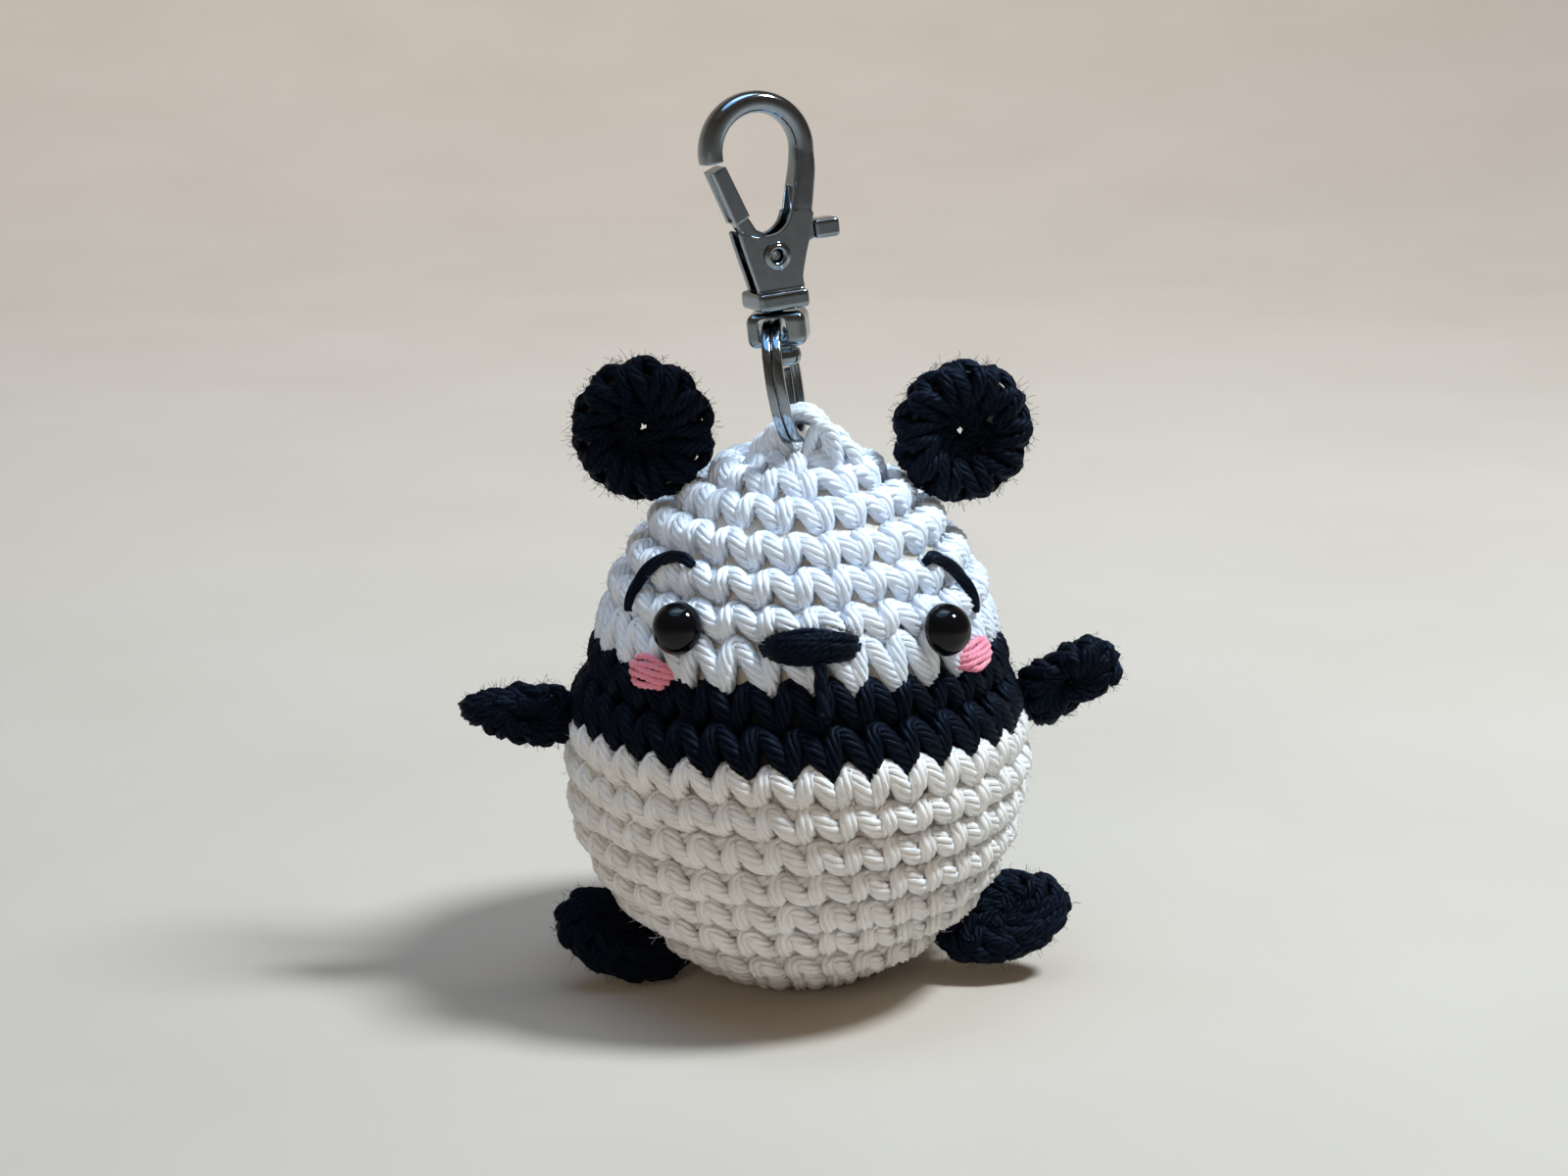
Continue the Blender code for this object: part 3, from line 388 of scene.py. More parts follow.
def make_body():
    """The three covers, in six pieces, each with its underlayer and loose fibres."""
    first = 0
    for name, node, rounds, look, (low, high) in BODY_PIECES:
        yarn = Yarn()
        body_rounds(yarn, rounds, first)
        first += len(rounds)
        yarn.grid(BODY.shell(low, high, -LINER_DEPTH))
        fuzz(yarn, BODY, 1000, low + 0.5, high - 0.5, length=1.3, thick=0.022, lift=0.1, curl=0.9)
        # Under white stitches the underlayer's darker brownish colour is painted shade.
        gap, slot = (BLACK_GAP, "black_yarn") if look is BLACK else (WHITE_GAP_PAINTED_SHADE, "white_yarn")
        soft_piece(yarn, name, [look, gap], "plush", node)


# ---- ears, arms and feet -----------------------------------------------------------------------
class Placed:
    """A turned surface, stretched along its own X and Y and set down with a matrix."""

    def __init__(self, outline, matrix, stretch=(1.0, 1.0), bend=None):
        self.base, self.bend = Turned(outline), bend
        self.s = self.base.s
        self.turned = np.array(matrix.to_3x3())
        self.place = np.array(matrix.translation)
        self.stretch = np.array([stretch[0], stretch[1], 1.0])

    def at(self, turn, s, lift=0.0):
        point, normal = self.base.at(turn, s, 0.0)
        normal = unit(normal / self.stretch)
        point = point * self.stretch + normal * np.asarray(lift)[..., None]
        if self.bend:
            point = self.bend(point)
        return point @ self.turned.T + self.place, normal @ self.turned.T


def fuzz(yarn, surface, count, low, high, length=1.6, thick=0.028, lift=1.0, slot=0, curl=0.5):
    """Loose fibres that stand off the yarn."""
    turn, s = random.uniform(0, 1, count), random.uniform(low, high, count)
    point, normal = surface.at(turn, s, np.full(count, lift))
    aim = unit(normal * random.uniform(0.1, 1.0, (count, 1)) + random.normal(0, 0.6, (count, 3)))
    swing = unit(np.cross(aim, random.normal(0, 1, (count, 3))))
    reach = length * random.uniform(0.35, 1.0, count)
    t = np.linspace(0, 1, 4)
    for i in range(count):
        path = point[i] - normal[i] * 0.7 + (aim[i] * t[:, None] + swing[i] * curl * t[:, None] ** 2) * reach[i]
        yarn.strand(path, np.tile(swing[i] + 0.01, (4, 1)), radius=thick, plies=1, sides=3, slot=slot)


def underlayer(yarn, surface, low, high, rows, depth):
    """A plain surface under the stitches, so that no light shows between them."""
    grid_s, grid_t = np.meshgrid(np.linspace(low, high, rows), np.arange(36) / 36, indexing="ij")
    yarn.grid(surface.at(grid_t, grid_s, -depth)[0])


# Each ear's centre, the way it faces, its body, and how far its stitches are turned.
EARS = {"ear_left": ((-18.5, 0.4, 68.3), -8.0, "left_ear", 8.0),
        "ear_right": ((19.80, -0.4, 67.50), 10.0, "right_ear", 76.0)}


def make_ears():
    """Two rounds of stitches in a shallow cup, with a scalloped rim and a tiny hole in the middle."""
    cup = [(0.9, 0.1), (2.2, -0.1), (3.6, -0.9), (5.2, -1.75), (6.9, -1.8), (7.9, -0.8), (8.1, 0.2),
           (7.4, 1.3), (5.4, 1.7), (3.2, 1.5), (0.9, 1.3)]
    for name, (centre, yaw, body, start) in EARS.items():
        frame_in = Matrix.Translation(centre) @ Matrix.Rotation(math.radians(yaw), 4, "Z") \
            @ Matrix.Rotation(math.radians(start), 4, "Y") @ Matrix.Rotation(math.radians(-90), 4, "X")
        dish = Placed(cup, frame_in)
        yarn, total = Yarn(), dish.s[-1]
        black = dict(radius=1.0, plies=5, pitch=5.5, wobble=1.3, flat=0.8)
        stitch_round(yarn, dish, 1.5, 6, height=1.1, lift=(-0.35, -0.25, 0.0), **black)
        stitch_round(yarn, dish, 5.3, 10, height=2.2, lift=(0.15, 0.15, -0.2), **black)
        stitch_round(yarn, dish, 8.0, 10, start=0.04, height=1.5, lift=(-0.15, 0.15, -0.1), **black)
        stitch_round(yarn, dish, total - 5.3, 10, start=0.02, height=2.1, direction=-1, lift=(-0.1, 0.2, -0.3),
                     **black)
        stitch_round(yarn, dish, total - 1.5, 6, height=1.1, direction=-1, lift=(-0.5, 0.0, 0.0), **black)
        underlayer(yarn, dish, 1.2, total - 1.2, 20, 0.9)
        fuzz(yarn, dish, 1200, 3.0, total - 3.0, length=1.6, thick=0.024)
        soft_piece(yarn, name + "_crochet", [BLACK, BLACK_GAP], body, name)


# Each foot's centre, the direction of its toe, and its body.
FEET = {"foot_left": ((-21.8, -4.4, 6.1), (-0.93, 0.05, 0.33), "left_foot"),
        "foot_right": ((24.8, -6.2, 7.4), (0.96, 0.10, 0.24), "right_foot")}
FOOT_FACING = Vector((0.0, -0.74, 0.67))


def make_feet():
    """Long flat ovals, crocheted round a centre line, with a bumpy rim."""
    outline = [(0.3, -1.0), (2.0, -1.15), (3.8, -1.05), (4.7, -0.55), (4.95, 0.0), (4.7, 0.55), (3.8, 0.95),
               (2.0, 1.05), (0.3, 1.0)]
    for name, (centre, along, body) in FEET.items():
        along = Vector(along).normalized()
        normal = (FOOT_FACING - along * FOOT_FACING.dot(along)).normalized()
        across = normal.cross(along).normalized()
        basis = Matrix((along, across, normal)).transposed().to_4x4()
        frame_in = Matrix.Translation(centre) @ basis @ Matrix.Rotation(math.radians(180), 4, "X")
        sole = Placed(outline, frame_in, stretch=(1.66, 1.0))
        yarn, total = Yarn(), sole.s[-1]
        black = dict(radius=0.95, plies=5, pitch=5.5, wobble=1.5, flat=0.85)
        stitch_round(yarn, sole, 1.0, 6, height=0.9, lift=(0.0, 0.0, 0.0), **black)
        stitch_round(yarn, sole, 2.7, 8, height=0.9, lift=(0.2, 0.2, -0.2), lean=0.35, **black)
        stitch_round(yarn, sole, 4.4, 10, start=0.03, height=0.8, lift=(0.1, 0.0, 0.0), lean=0.42, **black)
        stitch_round(yarn, sole, 5.8, 13, start=0.03, height=0.6, lift=(-0.2, 0.0, 0.0), lean=0.3, **black)
        stitch_round(yarn, sole, total - 3.6, 13, height=1.2, direction=-1, lift=(0.0, 0.0, -0.2), **black)
        stitch_round(yarn, sole, total - 1.2, 7, height=1.0, direction=-1, lift=(0.0, 0.0, 0.0), **black)
        underlayer(yarn, sole, 0.0, total, 16, 0.5)
        fuzz(yarn, sole, 1100, 0.5, total - 0.5, length=1.6, thick=0.024)
        if name == "foot_left":     # one pale stray fibre lies over this foot
            along_fibre = np.linspace(0, 1, 14)
            path, normals = sole.at(0.62 + 0.16 * along_fibre, 3.9 - 2.4 * along_fibre,
                                    1.15 + 0.25 * np.sin(7 * along_fibre))
            yarn.strand(path, normals, radius=0.06, plies=1, sides=4, slot=2)
        soft_piece(yarn, name + "_crochet", [BLACK, BLACK_GAP, SKY_TINTED_WHITE], body, name)


# Each arm's azimuth, height and rise above level, its body, and how much wider or narrower its tip is.
ARMS = {"arm_left": (-86.0, 34.0, 9.0, "left_arm", -0.25),
        "arm_right": (88.0, 35.2, 30.0, "right_arm", 0.55)}
ARM_ROOT = 3.5              # from the body's surface to the arm's pivot


def blunt_ends(tip):
    """Widens the end of an arm that meets the body, and makes its tip blunt or sharp."""
    def bend(point):
        share = point[..., :1] / 6.5
        wider = np.where(share < 0, 0.55 * np.clip(-share, 0, 1), tip * np.clip(share, 0, 1))
        return point * np.concatenate([1 + 0 * share, 1 + wider, 1 + 0.4 * wider], -1)
    return bend


def make_arms():
    """Leaf-shaped arms of two layers of stitches, joined along their edges."""
    outline = [(0.15, -0.95), (0.6, -1.1), (1.0, -0.9), (1.22, -0.3), (1.25, 0.2), (1.0, 0.85), (0.5, 1.05),
               (0.1, 0.95)]
    outline = [(r * 2.3, z) for r, z in outline]
    for name, (azimuth, height, rise, body, tip) in ARMS.items():
        angle, up = math.radians(azimuth), math.radians(rise)
        level = Vector((math.sin(angle), -math.cos(angle), 0.0))
        radius = float(np.interp(height, BODY.line[:, 1], BODY.line[:, 0]))
        pivot = Vector((level.x * radius, level.y * radius, height)) + level * ARM_ROOT
        out = level * math.cos(up) + Vector((0, 0, 1)) * math.sin(up)
        across = Vector((0, 0, 1)) * math.cos(up) - level * math.sin(up)
        front = out.cross(across) if out.cross(across).y < 0 else -out.cross(across)
        basis = Matrix((out, -front.cross(out), -front)).transposed().to_4x4()
        frame_in = Matrix.Translation(pivot + out * 2.4) @ basis
        leaf = Placed(outline, frame_in, stretch=(2.25, 1.0), bend=blunt_ends(tip))
        yarn, total = Yarn(), leaf.s[-1]
        black = dict(radius=0.92, plies=5, pitch=6.5, wobble=2.2, flat=0.95)
        stitch_round(yarn, leaf, total * 0.21, 9, height=0.85, lift=(0.25, 0.1, -0.3), **black)
        stitch_round(yarn, leaf, total * 0.50, 10, start=0.03, height=1.15, lift=(0.05, 0.0, 0.0), lean=0.3,
                     **black)
        stitch_round(yarn, leaf, total * 0.79, 9, height=0.85, direction=-1, lift=(0.25, 0.1, -0.3), **black)
        underlayer(yarn, leaf, 0.0, total, 16, 0.3)
        fuzz(yarn, leaf, 900, 0.4, total - 0.4, length=1.5, thick=0.024)
        soft_piece(yarn, name + "_crochet", [BLACK, BLACK_GAP], body, name)


# ---- face --------------------------------------------------------------------------------------
def on_body(azimuth, height, lift=0.0):
    """A place on the body's surface, its outward normal, and the direction across it to the right."""
    point, normal = BODY.at(np.array([azimuth / 360.0]), np.array([ARC(height)]), np.array([lift]))
    angle = math.radians(azimuth)
    return point[0], normal[0], np.array([math.cos(angle), math.sin(angle), 0.0])


def line_on_body(places, lift, samples=8):
    """Points along a smooth line through (azimuth, height) places, with the normals there."""
    line = spline(places, samples)
    heights = np.interp(line[:, 1], BODY.line[:, 1], BODY.s)
    return BODY.at(line[:, 0] / 360.0, heights, np.full(len(line), lift))


def straight_stitches(yarn, place, half_width, half_height, count, radius, crown, converge, lift, tilt=0.0,
                      jitter=0.08):
    """Satin stitch: strands laid side by side over a small pad, which meet towards their ends."""
    centre, normal, right = on_body(*place)
    up = np.cross(normal, right)
    right, up = right * math.cos(tilt) + up * math.sin(tilt), up * math.cos(tilt) - right * math.sin(tilt)
    t = np.linspace(-1, 1, 15)
    for k in range(count):
        row = 2 * k / (count - 1) - 1
        half = half_width * math.sqrt(max(1 - (row * 0.62) ** 2, 0.1)) * (1 + random.normal(0, 0.03))
        high = row * half_height * (1 - converge * t ** 2) + random.normal(0, jitter) \
            + random.normal(0, jitter * 1.3) * t + 0.1 * np.sin(4 * t + k * 2.1)
        bulge = lift + crown * (1 - row ** 2 * 0.75) * (1 - np.abs(t) ** 3) - 1.1 * np.abs(t) ** 6
        flat = centre + right * (half * t)[:, None] + up * high[:, None]
        rings = np.hypot(flat[:, 0], flat[:, 1])
        surface = np.interp(flat[:, 2], BODY.line[:, 1], BODY.line[:, 0])
        path = flat + normal * (bulge + (surface - rings) * 0.9)[:, None]
        yarn.strand(path, np.tile(normal, (len(t), 1)), radius=radius, plies=3, pitch=radius * 6, flat=0.85)


def face_piece(yarn, name, looks, replaced):
    piece = yarn.build(name, looks)
    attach(piece, "plush")
    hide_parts(replaced)


def make_face():
    """Embroidery over the covers: nose, mouth, eyebrows and cheeks."""
    nose = Yarn()
    straight_stitches(nose, (-1.5, 47.6), 5.45, 1.7, 8, 0.58, 0.9, 0.3, 0.5, jitter=0.07)
    spot = Placed([(0.1, 0.3), (2.0, 0.1), (3.0, -0.8)], Matrix.Identity(4))
    spot.at = lambda turn, s, lift: BODY.at((turn - 0.5) * 0.055 - 0.004, ARC(48.2) + (s - 1.5) * 0.5, lift)
    fuzz(nose, spot, 420, 0.0, 3.4, length=1.5, lift=1.6, thick=0.03)
    face_piece(nose, "nose_stitches", [BLACK], "nose")

    mouth = Yarn()
    path, normal = line_on_body([(0.4, 45.9), (0.8, 44.6), (0.8, 43.0), (1.2, 41.0), (1.3, 39.9)], 0.75)
    mouth.strand(path, normal, radius=0.85, plies=3, pitch=8.0, sides=7)
    face_piece(mouth, "mouth_stitch", [BLACK], "mouth_line")

    brows = {"left": [(-43.5, 55.2), (-47.5, 55.6), (-54.5, 55.3), (-62.5, 53.0), (-65.5, 48.8)],
             "right": [(43.0, 55.0), (46.5, 55.2), (51.5, 54.3), (57.5, 51.9), (60.5, 48.2)]}
    cheeks = {"left": (-49.0, 43.1, -0.02), "right": (53.5, 43.8, 0.05)}
    for side in ("left", "right"):
        brow = Yarn()
        path, normal = line_on_body(brows[side], 0.35)
        sink = np.linspace(-1, 1, len(path)) ** 8
        brow.strand(path - normal * sink[:, None] * 0.6, normal, radius=0.84, plies=3, pitch=14.0, sides=8,
                    taper=1 - 0.35 * np.abs(np.linspace(-1, 1, len(path))) ** 3)
        face_piece(brow, f"eyebrow_{side}_stitch", [BLACK], f"eyebrow_{side}")
        cheek = Yarn()
        azimuth, height, tilt = cheeks[side]
        straight_stitches(cheek, (azimuth, height), 3.7, 1.5, 5, 0.47, 0.35, 0.35, 0.35, tilt=tilt)
        face_piece(cheek, f"cheek_{side}_stitches", [PINK], f"cheek_{side}")


EYES = {"left": (-40.2, 48.5), "right": (39.7, 47.7)}
EYE_HEIGHT = 3.75


def make_eyes():
    """Glossy domed safety eyes with a rounded rim that sits on the yarn."""
    for side, place in EYES.items():
        centre, normal, right = on_body(*place)
        line = spline([(0.0, EYE_HEIGHT), (0.8, 3.66), (1.6, 3.33), (2.3, 2.72), (2.8, 2.0), (3.07, 1.15),
                       (3.1, 0.75), (2.98, 0.35), (2.6, 0.1), (1.5, 0.0)], 5)
        line[:, 0] = np.maximum(line[:, 0], 0)
        columns = 48
        turn = np.arange(columns) / columns * 2 * math.pi
        up = np.cross(normal, right)
        dome = Yarn()
        grid = (line[1:, None, 0:1] * (np.cos(turn)[None, :, None] * right + np.sin(turn)[None, :, None] * up)
                + line[1:, None, 1:2] * normal)
        dome.grid((centre + grid)[::-1], slot=0)
        top = dome.count
        dome.points.append((centre + normal * EYE_HEIGHT)[None])
        dome.count += 1
        last = (len(line) - 2) * columns
        j = np.arange(columns)
        dome.faces.append(np.stack([last + j, last + (j + 1) % columns, np.full(columns, top),
                                    np.full(columns, top)], -1))
        dome.uvs.append(np.zeros((columns, 4, 2)))
        dome.slots.append(np.zeros(columns, int))
        piece = dome.build(f"eye_{side}_dome", [GLOSS])
        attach(piece, "plush")
        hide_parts(f"eye_{side}")


# ---- hanging loop and filling ------------------------------------------------------------------
def turned(degrees, axis):
    return Matrix.Rotation(math.radians(degrees), 4, axis)


HARDWARE_TURN = -12.0       # the loop, the ring and the clasp are turned this many degrees about the vertical
LOOP_ROOT = 64.6            # height where the arches of the loop begin
LOOP_END = 62.0             # height where their ends stop, inside the crown


def make_loop():
    """Three strands of yarn that arch through the ring into the crown, and lower arches on both sides."""
    place = Matrix.Translation((0.4, -2.3, 0.0)) @ turned(HARDWARE_TURN, "Z")
    yarn = Yarn()
    for middle, span, shift, lean, top in ((0.0, 3.6, -1.0, 0.25, 70.6), (0.0, 3.6, 0.55, -0.15, 70.85),
                                           (0.0, 3.6, 1.5, -0.5, 69.6), (2.6, 1.9, -1.6, 0.4, 69.2),
                                           (3.4, 2.1, 0.2, -0.3, 68.3), (-3.0, 1.3, -0.9, 0.2, 68.7),
                                           (4.6, 2.0, -1.2, 0.5, 67.2), (-4.2, 1.5, 0.3, -0.2, 67.3)):
        a = np.linspace(-0.15, 1.15, 22) * math.pi
        path = np.stack([middle - span * np.cos(a), shift + lean * np.cos(a),
                         LOOP_ROOT + (top - LOOP_ROOT) * np.sin(a)], 1)
        path[:, 2] = np.maximum(path[:, 2], LOOP_END)
        normals = np.stack([-np.cos(a), 0 * a, np.sin(a)], 1)
        yarn.strand(path, normals, radius=0.92, plies=5, pitch=5.5, sides=6)
    loop = yarn.build("hanging_loop_strands", [SKY_TINTED_WHITE], place)
    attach(loop, "plush")
    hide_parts("hanging_loop")


def make_filling():
    """The fibre filling: a lumpy closed form inside the covers."""
    rows, columns = 40, 64
    inner = Turned([(0.0, 3.2), (8.0, 3.4), (18.0, 9.5), (23.6, 17.0), (25.2, 26.0), (24.6, 34.0), (22.2, 42.0),
                    (19.3, 50.0), (14.2, 57.2), (7.0, 61.6), (0.0, 62.4)])
    grid = inner.shell(0.15, inner.s[-1] - 0.15, -0.25, rows, columns)
    lumps = random.normal(0, 1, (8, 4))
    bump = sum(np.sin(grid @ v[:3] * 0.35 + v[3]) for v in lumps) / 8
    centre = np.array([0, 0, 33.0])
    grid = centre + (grid - centre) * (0.965 + 0.02 * bump)[..., None]
    yarn = Yarn()
    yarn.grid(grid, slot=0)
    filling = yarn.build("filling_fibre", [FILLING])
    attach(filling, "plush")
    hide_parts("stuffing")


# ---- ring and clasp, in millimetres from the ring's centre --------------------------------------
RING_CENTRE = Vector((-1.8, -2.3, 74.4))
RING_PLACE = Matrix.Translation(RING_CENTRE) @ turned(HARDWARE_TURN, "Z") @ turned(-10.5, "Y")
SWIVEL_PLACE = Matrix.Translation(RING_CENTRE) @ turned(HARDWARE_TURN, "Z") @ turned(-6.0, "Y")
CLASP_PLACE = SWIVEL_PLACE @ turned(29.0, "Z")
RIVET_UP = Matrix.Translation((0.0, 0.0, 15.0))
RIVET_PLACE = CLASP_PLACE @ RIVET_UP @ turned(90.0, "X")


def shape(bm):
    """A bare object from bmesh geometry."""
    bmesh.ops.recalc_face_normals(bm, faces=bm.faces)
    mesh = bpy.data.meshes.new("shape")
    bm.to_mesh(mesh)
    bm.free()
    made = bpy.data.objects.new("shape", mesh)
    bpy.context.scene.collection.objects.link(made)
    return made


def block(low, high, bevel=0.0, segments=3):
    """A bevelled box between two corners."""
    bm = bmesh.new()
    bmesh.ops.create_cube(bm, size=1.0)
    for v in bm.verts:
        v.co = Vector(a + (b - a) * (c + 0.5) for a, b, c in zip(low, high, v.co))
    if bevel:
        bmesh.ops.bevel(bm, geom=bm.edges[:], offset=bevel, segments=segments, profile=0.5, affect="EDGES")
    return shape(bm)


def plate(outline, half_depth, smooth=True):
    """A flat plate with a smooth outline in X and Z."""
    line = spline(outline + outline[:1], 6)[:-1] if smooth else np.array(outline)
    bm = bmesh.new()
    verts = [bm.verts.new((x, -half_depth, z)) for x, z in line]
    face = bm.faces.new(verts)
    made = bmesh.ops.extrude_face_region(bm, geom=[face])
    for v in made["geom"]:
        if isinstance(v, bmesh.types.BMVert):
            v.co.y = half_depth
    return shape(bm)


def turned_solid(outline, matrix=None, segments=48):
    """A solid turned about Z. Its outline ends on the axis, or closes on itself as a tube."""
    bm = bmesh.new()
    rings = []
    for r, z in outline:
        count = 1 if r < 1e-6 else segments
        rings.append([bm.verts.new((r * math.cos(2 * math.pi * k / segments),
                                    r * math.sin(2 * math.pi * k / segments), z)) for k in range(count)])
    closed = outline[0][0] > 1e-6
    pairs = list(zip(rings, rings[1:])) + ([(rings[-1], rings[0])] if closed else [])
    for one, other in pairs:
        for k in range(segments):
            n = (k + 1) % segments
            corner = [one[k % len(one)], one[n % len(one)], other[n % len(other)], other[k % len(other)]]
            corner = [v for i, v in enumerate(corner) if v not in corner[:i]]
            if len(corner) > 2:
                bm.faces.new(corner)
    if matrix is not None:
        bm.transform(matrix)
    return shape(bm)


def sweep(path, normals, sections, closed=False):
    """A bar along a path. sections gives the cross-section's (along the normal, across) points at each place."""
    path, normals = np.asarray(path, float), np.asarray(normals, float)
    tangent = unit(np.roll(path, -1, 0) - np.roll(path, 1, 0)) if closed else unit(np.gradient(path, axis=0))
    normals = unit(normals - (normals * tangent).sum(1, keepdims=True) * tangent)
    side = np.cross(tangent, normals)
    bm = bmesh.new()
    rings = [[bm.verts.new(p + n * a + w * b) for a, b in section]
             for p, n, w, section in zip(path, normals, side, sections)]
    for one, other in list(zip(rings, rings[1:])) + ([(rings[-1], rings[0])] if closed else []):
        for k in range(len(one)):
            n = (k + 1) % len(one)
            bm.faces.new([one[k], one[n], other[n], other[k]])
    if not closed:
        bm.faces.new(rings[0])
        bm.faces.new(rings[-1])
    return shape(bm)


def rounded_section(half_a, half_b, power, count):
    """An oval (power 2) or a rectangle with rounded corners (a higher power)."""
    angles = np.arange(count) / count * 2 * math.pi
    c, s = np.cos(angles), np.sin(angles)
    return np.stack([half_a * np.sign(c) * np.abs(c) ** (2 / power),
                     half_b * np.sign(s) * np.abs(s) ** (2 / power)], 1)


def joined(body, add, cut, voxel):
    """Joins and cuts shapes, then rounds every edge a little, as casting and plating do."""
    for other, operation in [(o, "UNION") for o in add] + [(o, "DIFFERENCE") for o in cut]:
        step = body.modifiers.new("step", "BOOLEAN")
        step.object, step.operation, step.solver = other, operation, "EXACT"
    remesh = body.modifiers.new("remesh", "REMESH")
    remesh.mode, remesh.voxel_size = "VOXEL", voxel
    soft = body.modifiers.new("soft", "SMOOTH")
    soft.factor, soft.iterations = 0.5, 4
    bpy.context.view_layer.update()
    mesh = bpy.data.meshes.new_from_object(body.evaluated_get(bpy.context.evaluated_depsgraph_get()))
    for other in [body] + add + cut:
        bpy.data.objects.remove(other)
    made = bpy.data.objects.new("shape", mesh)
    bpy.context.scene.collection.objects.link(made)
    return made


def metal_piece(made, name, matrix, look, body, replaced):
    """Sets a finished shape down in metres, and ties it to its body, its CAD node and its finish."""
    made.name = made.data.name = name
    made.data.transform(Matrix.Scale(MM, 4) @ matrix)
    made.data.shade_smooth()
    made.data.materials.clear()
    made.data.materials.append(look)
    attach(made, body)
    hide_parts(replaced)


RING_RADIUS = 6.85          # to the middle of the wire


def make_ring():
    """One flat wire wound twice round, with its crossing on the far side."""
    steps = 240
    turn = np.linspace(12.0, 708.0, steps)
    share = np.clip((turn - 360.0) / 12.0, -1.0, 1.0)
    across = 0.585 * np.sin(share * math.pi / 2)
    angle = np.radians(75.0 + turn)
    out = np.stack([across * 0, np.sin(angle), np.cos(angle)], 1)
    path = RING_RADIUS * out + np.stack([across, 0 * across, 0 * across], 1)
    ring = sweep(path, out, [rounded_section(0.65, 0.545, 5.0, 20)] * steps)
    metal_piece(ring, "split_ring_coils", RING_PLACE, NICKEL_PAINTED_DARK_REFLECTION, "ring", "split_ring")


def make_barrel():
    """The barrel with the ring's window, the knob under it, and the headed stem that the clasp turns on."""
    barrel = block((-3.5, -2.7, 4.3), (3.5, 2.7, 8.4), 1.0, 4)
    window = block((-2.05, -10, 5.1), (1.25, 10, 7.8), 0.5)
    knob = turned_solid([(0, 2.0), (1.9, 2.0), (2.25, 2.25), (2.4, 2.95), (2.25, 3.6), (1.9, 3.9), (1.75, 4.0),
                         (1.75, 4.8), (0, 4.8)])
    stem = turned_solid([(0, 8.1), (0.7, 8.1), (0.7, 11.05), (1.0, 11.05), (1.0, 11.5), (0.75, 11.7), (0, 11.7)])
    metal_piece(joined(barrel, [knob, stem], [window], 0.11), "swivel_barrel_body", SWIVEL_PLACE, NICKEL_PAINTED_DARK_REFLECTION,
                "barrel", "swivel_barrel")


def make_clasp_body():
    """Collar, two cheeks and the hook, cast in one."""
    a = np.radians(np.linspace(187.0, -8.0, 44))
    arc = np.stack([-0.5 + 5.65 * np.cos(a), 0 * a, 27.15 + 5.65 * np.sin(a)], 1)
    tail = spline([(5.095, 26.36), (4.9, 24.4), (4.45, 22.4), (3.7, 19.2), (3.1, 16.8)], 8)[1:]
    path = np.vstack([arc, np.stack([tail[:, 0], 0 * tail[:, 0], tail[:, 1]], 1)])
    tangent = unit(np.gradient(path, axis=0))
    normals = np.stack([-tangent[:, 2], 0 * tangent[:, 0], tangent[:, 0]], 1)
    blend = np.clip((26.5 - path[:, 2]) / 6.0, 0.0, 1.0) * (path[:, 0] > 0)
    hook = sweep(path, normals, [rounded_section(1.3, 1.8 + 0.2 * b, 2.6 + 4.0 * b, 32) for b in blend])
    cheeks = plate([(-2.5, 10.5), (2.6, 10.5), (3.05, 12.3), (3.7, 14.6), (4.4, 16.6), (4.95, 18.6), (5.0, 19.5),
                    (3.6, 19.9), (2.5, 19.8), (2.15, 19.1), (1.7, 18.4), (0.6, 17.65), (-1.0, 17.4),
                    (-2.6, 17.6), (-3.9, 18.2), (-4.2, 17.7), (-3.6, 15.0), (-3.0, 12.6)], 2.0)
    collar = block((-3.15, -3.25, 8.7), (3.15, 3.25, 10.9), 0.55, 3)
    slot = block((-8.0, -1.15, 10.9), (8.0, 1.15, 19.0))
    relief = block((0.5, -1.15, 18.5), (3.6, 1.15, 22.6))
    stem_hole = turned_solid([(0, 5.0), (0.9, 5.0), (0.9, 11.4), (0, 11.4)])
    rivet_hole = turned_solid([(0, -5.0), (1.1, -5.0), (1.1, 5.0), (0, 5.0)],
                              CLASP_PLACE.inverted() @ RIVET_PLACE)
    body = joined(cheeks, [hook, collar], [slot, relief, stem_hole, rivet_hole], 0.10)
    metal_piece(body, "clasp_body", CLASP_PLACE, NICKEL_PAINTED_DARK_REFLECTION, "clasp", "clasp_frame")


def make_rivet():
    """A hollow rivet with both ends rolled over, the same on both sides."""
    half = [(0.55, 1.5), (0.6, 1.9), (0.78, 2.3), (0.95, 2.47), (1.15, 2.5), (1.3, 2.38), (1.42, 2.28),
            (1.6, 2.26), (1.65, 2.2), (1.65, 2.15), (0.95, 2.15)]
    outline = [(r, -z) for r, z in half] + half[::-1]
    metal_piece(turned_solid(outline), "gate_rivet_tube", RIVET_PLACE, NICKEL_PAINTED_DARK_REFLECTION, "clasp", "gate_rivet")


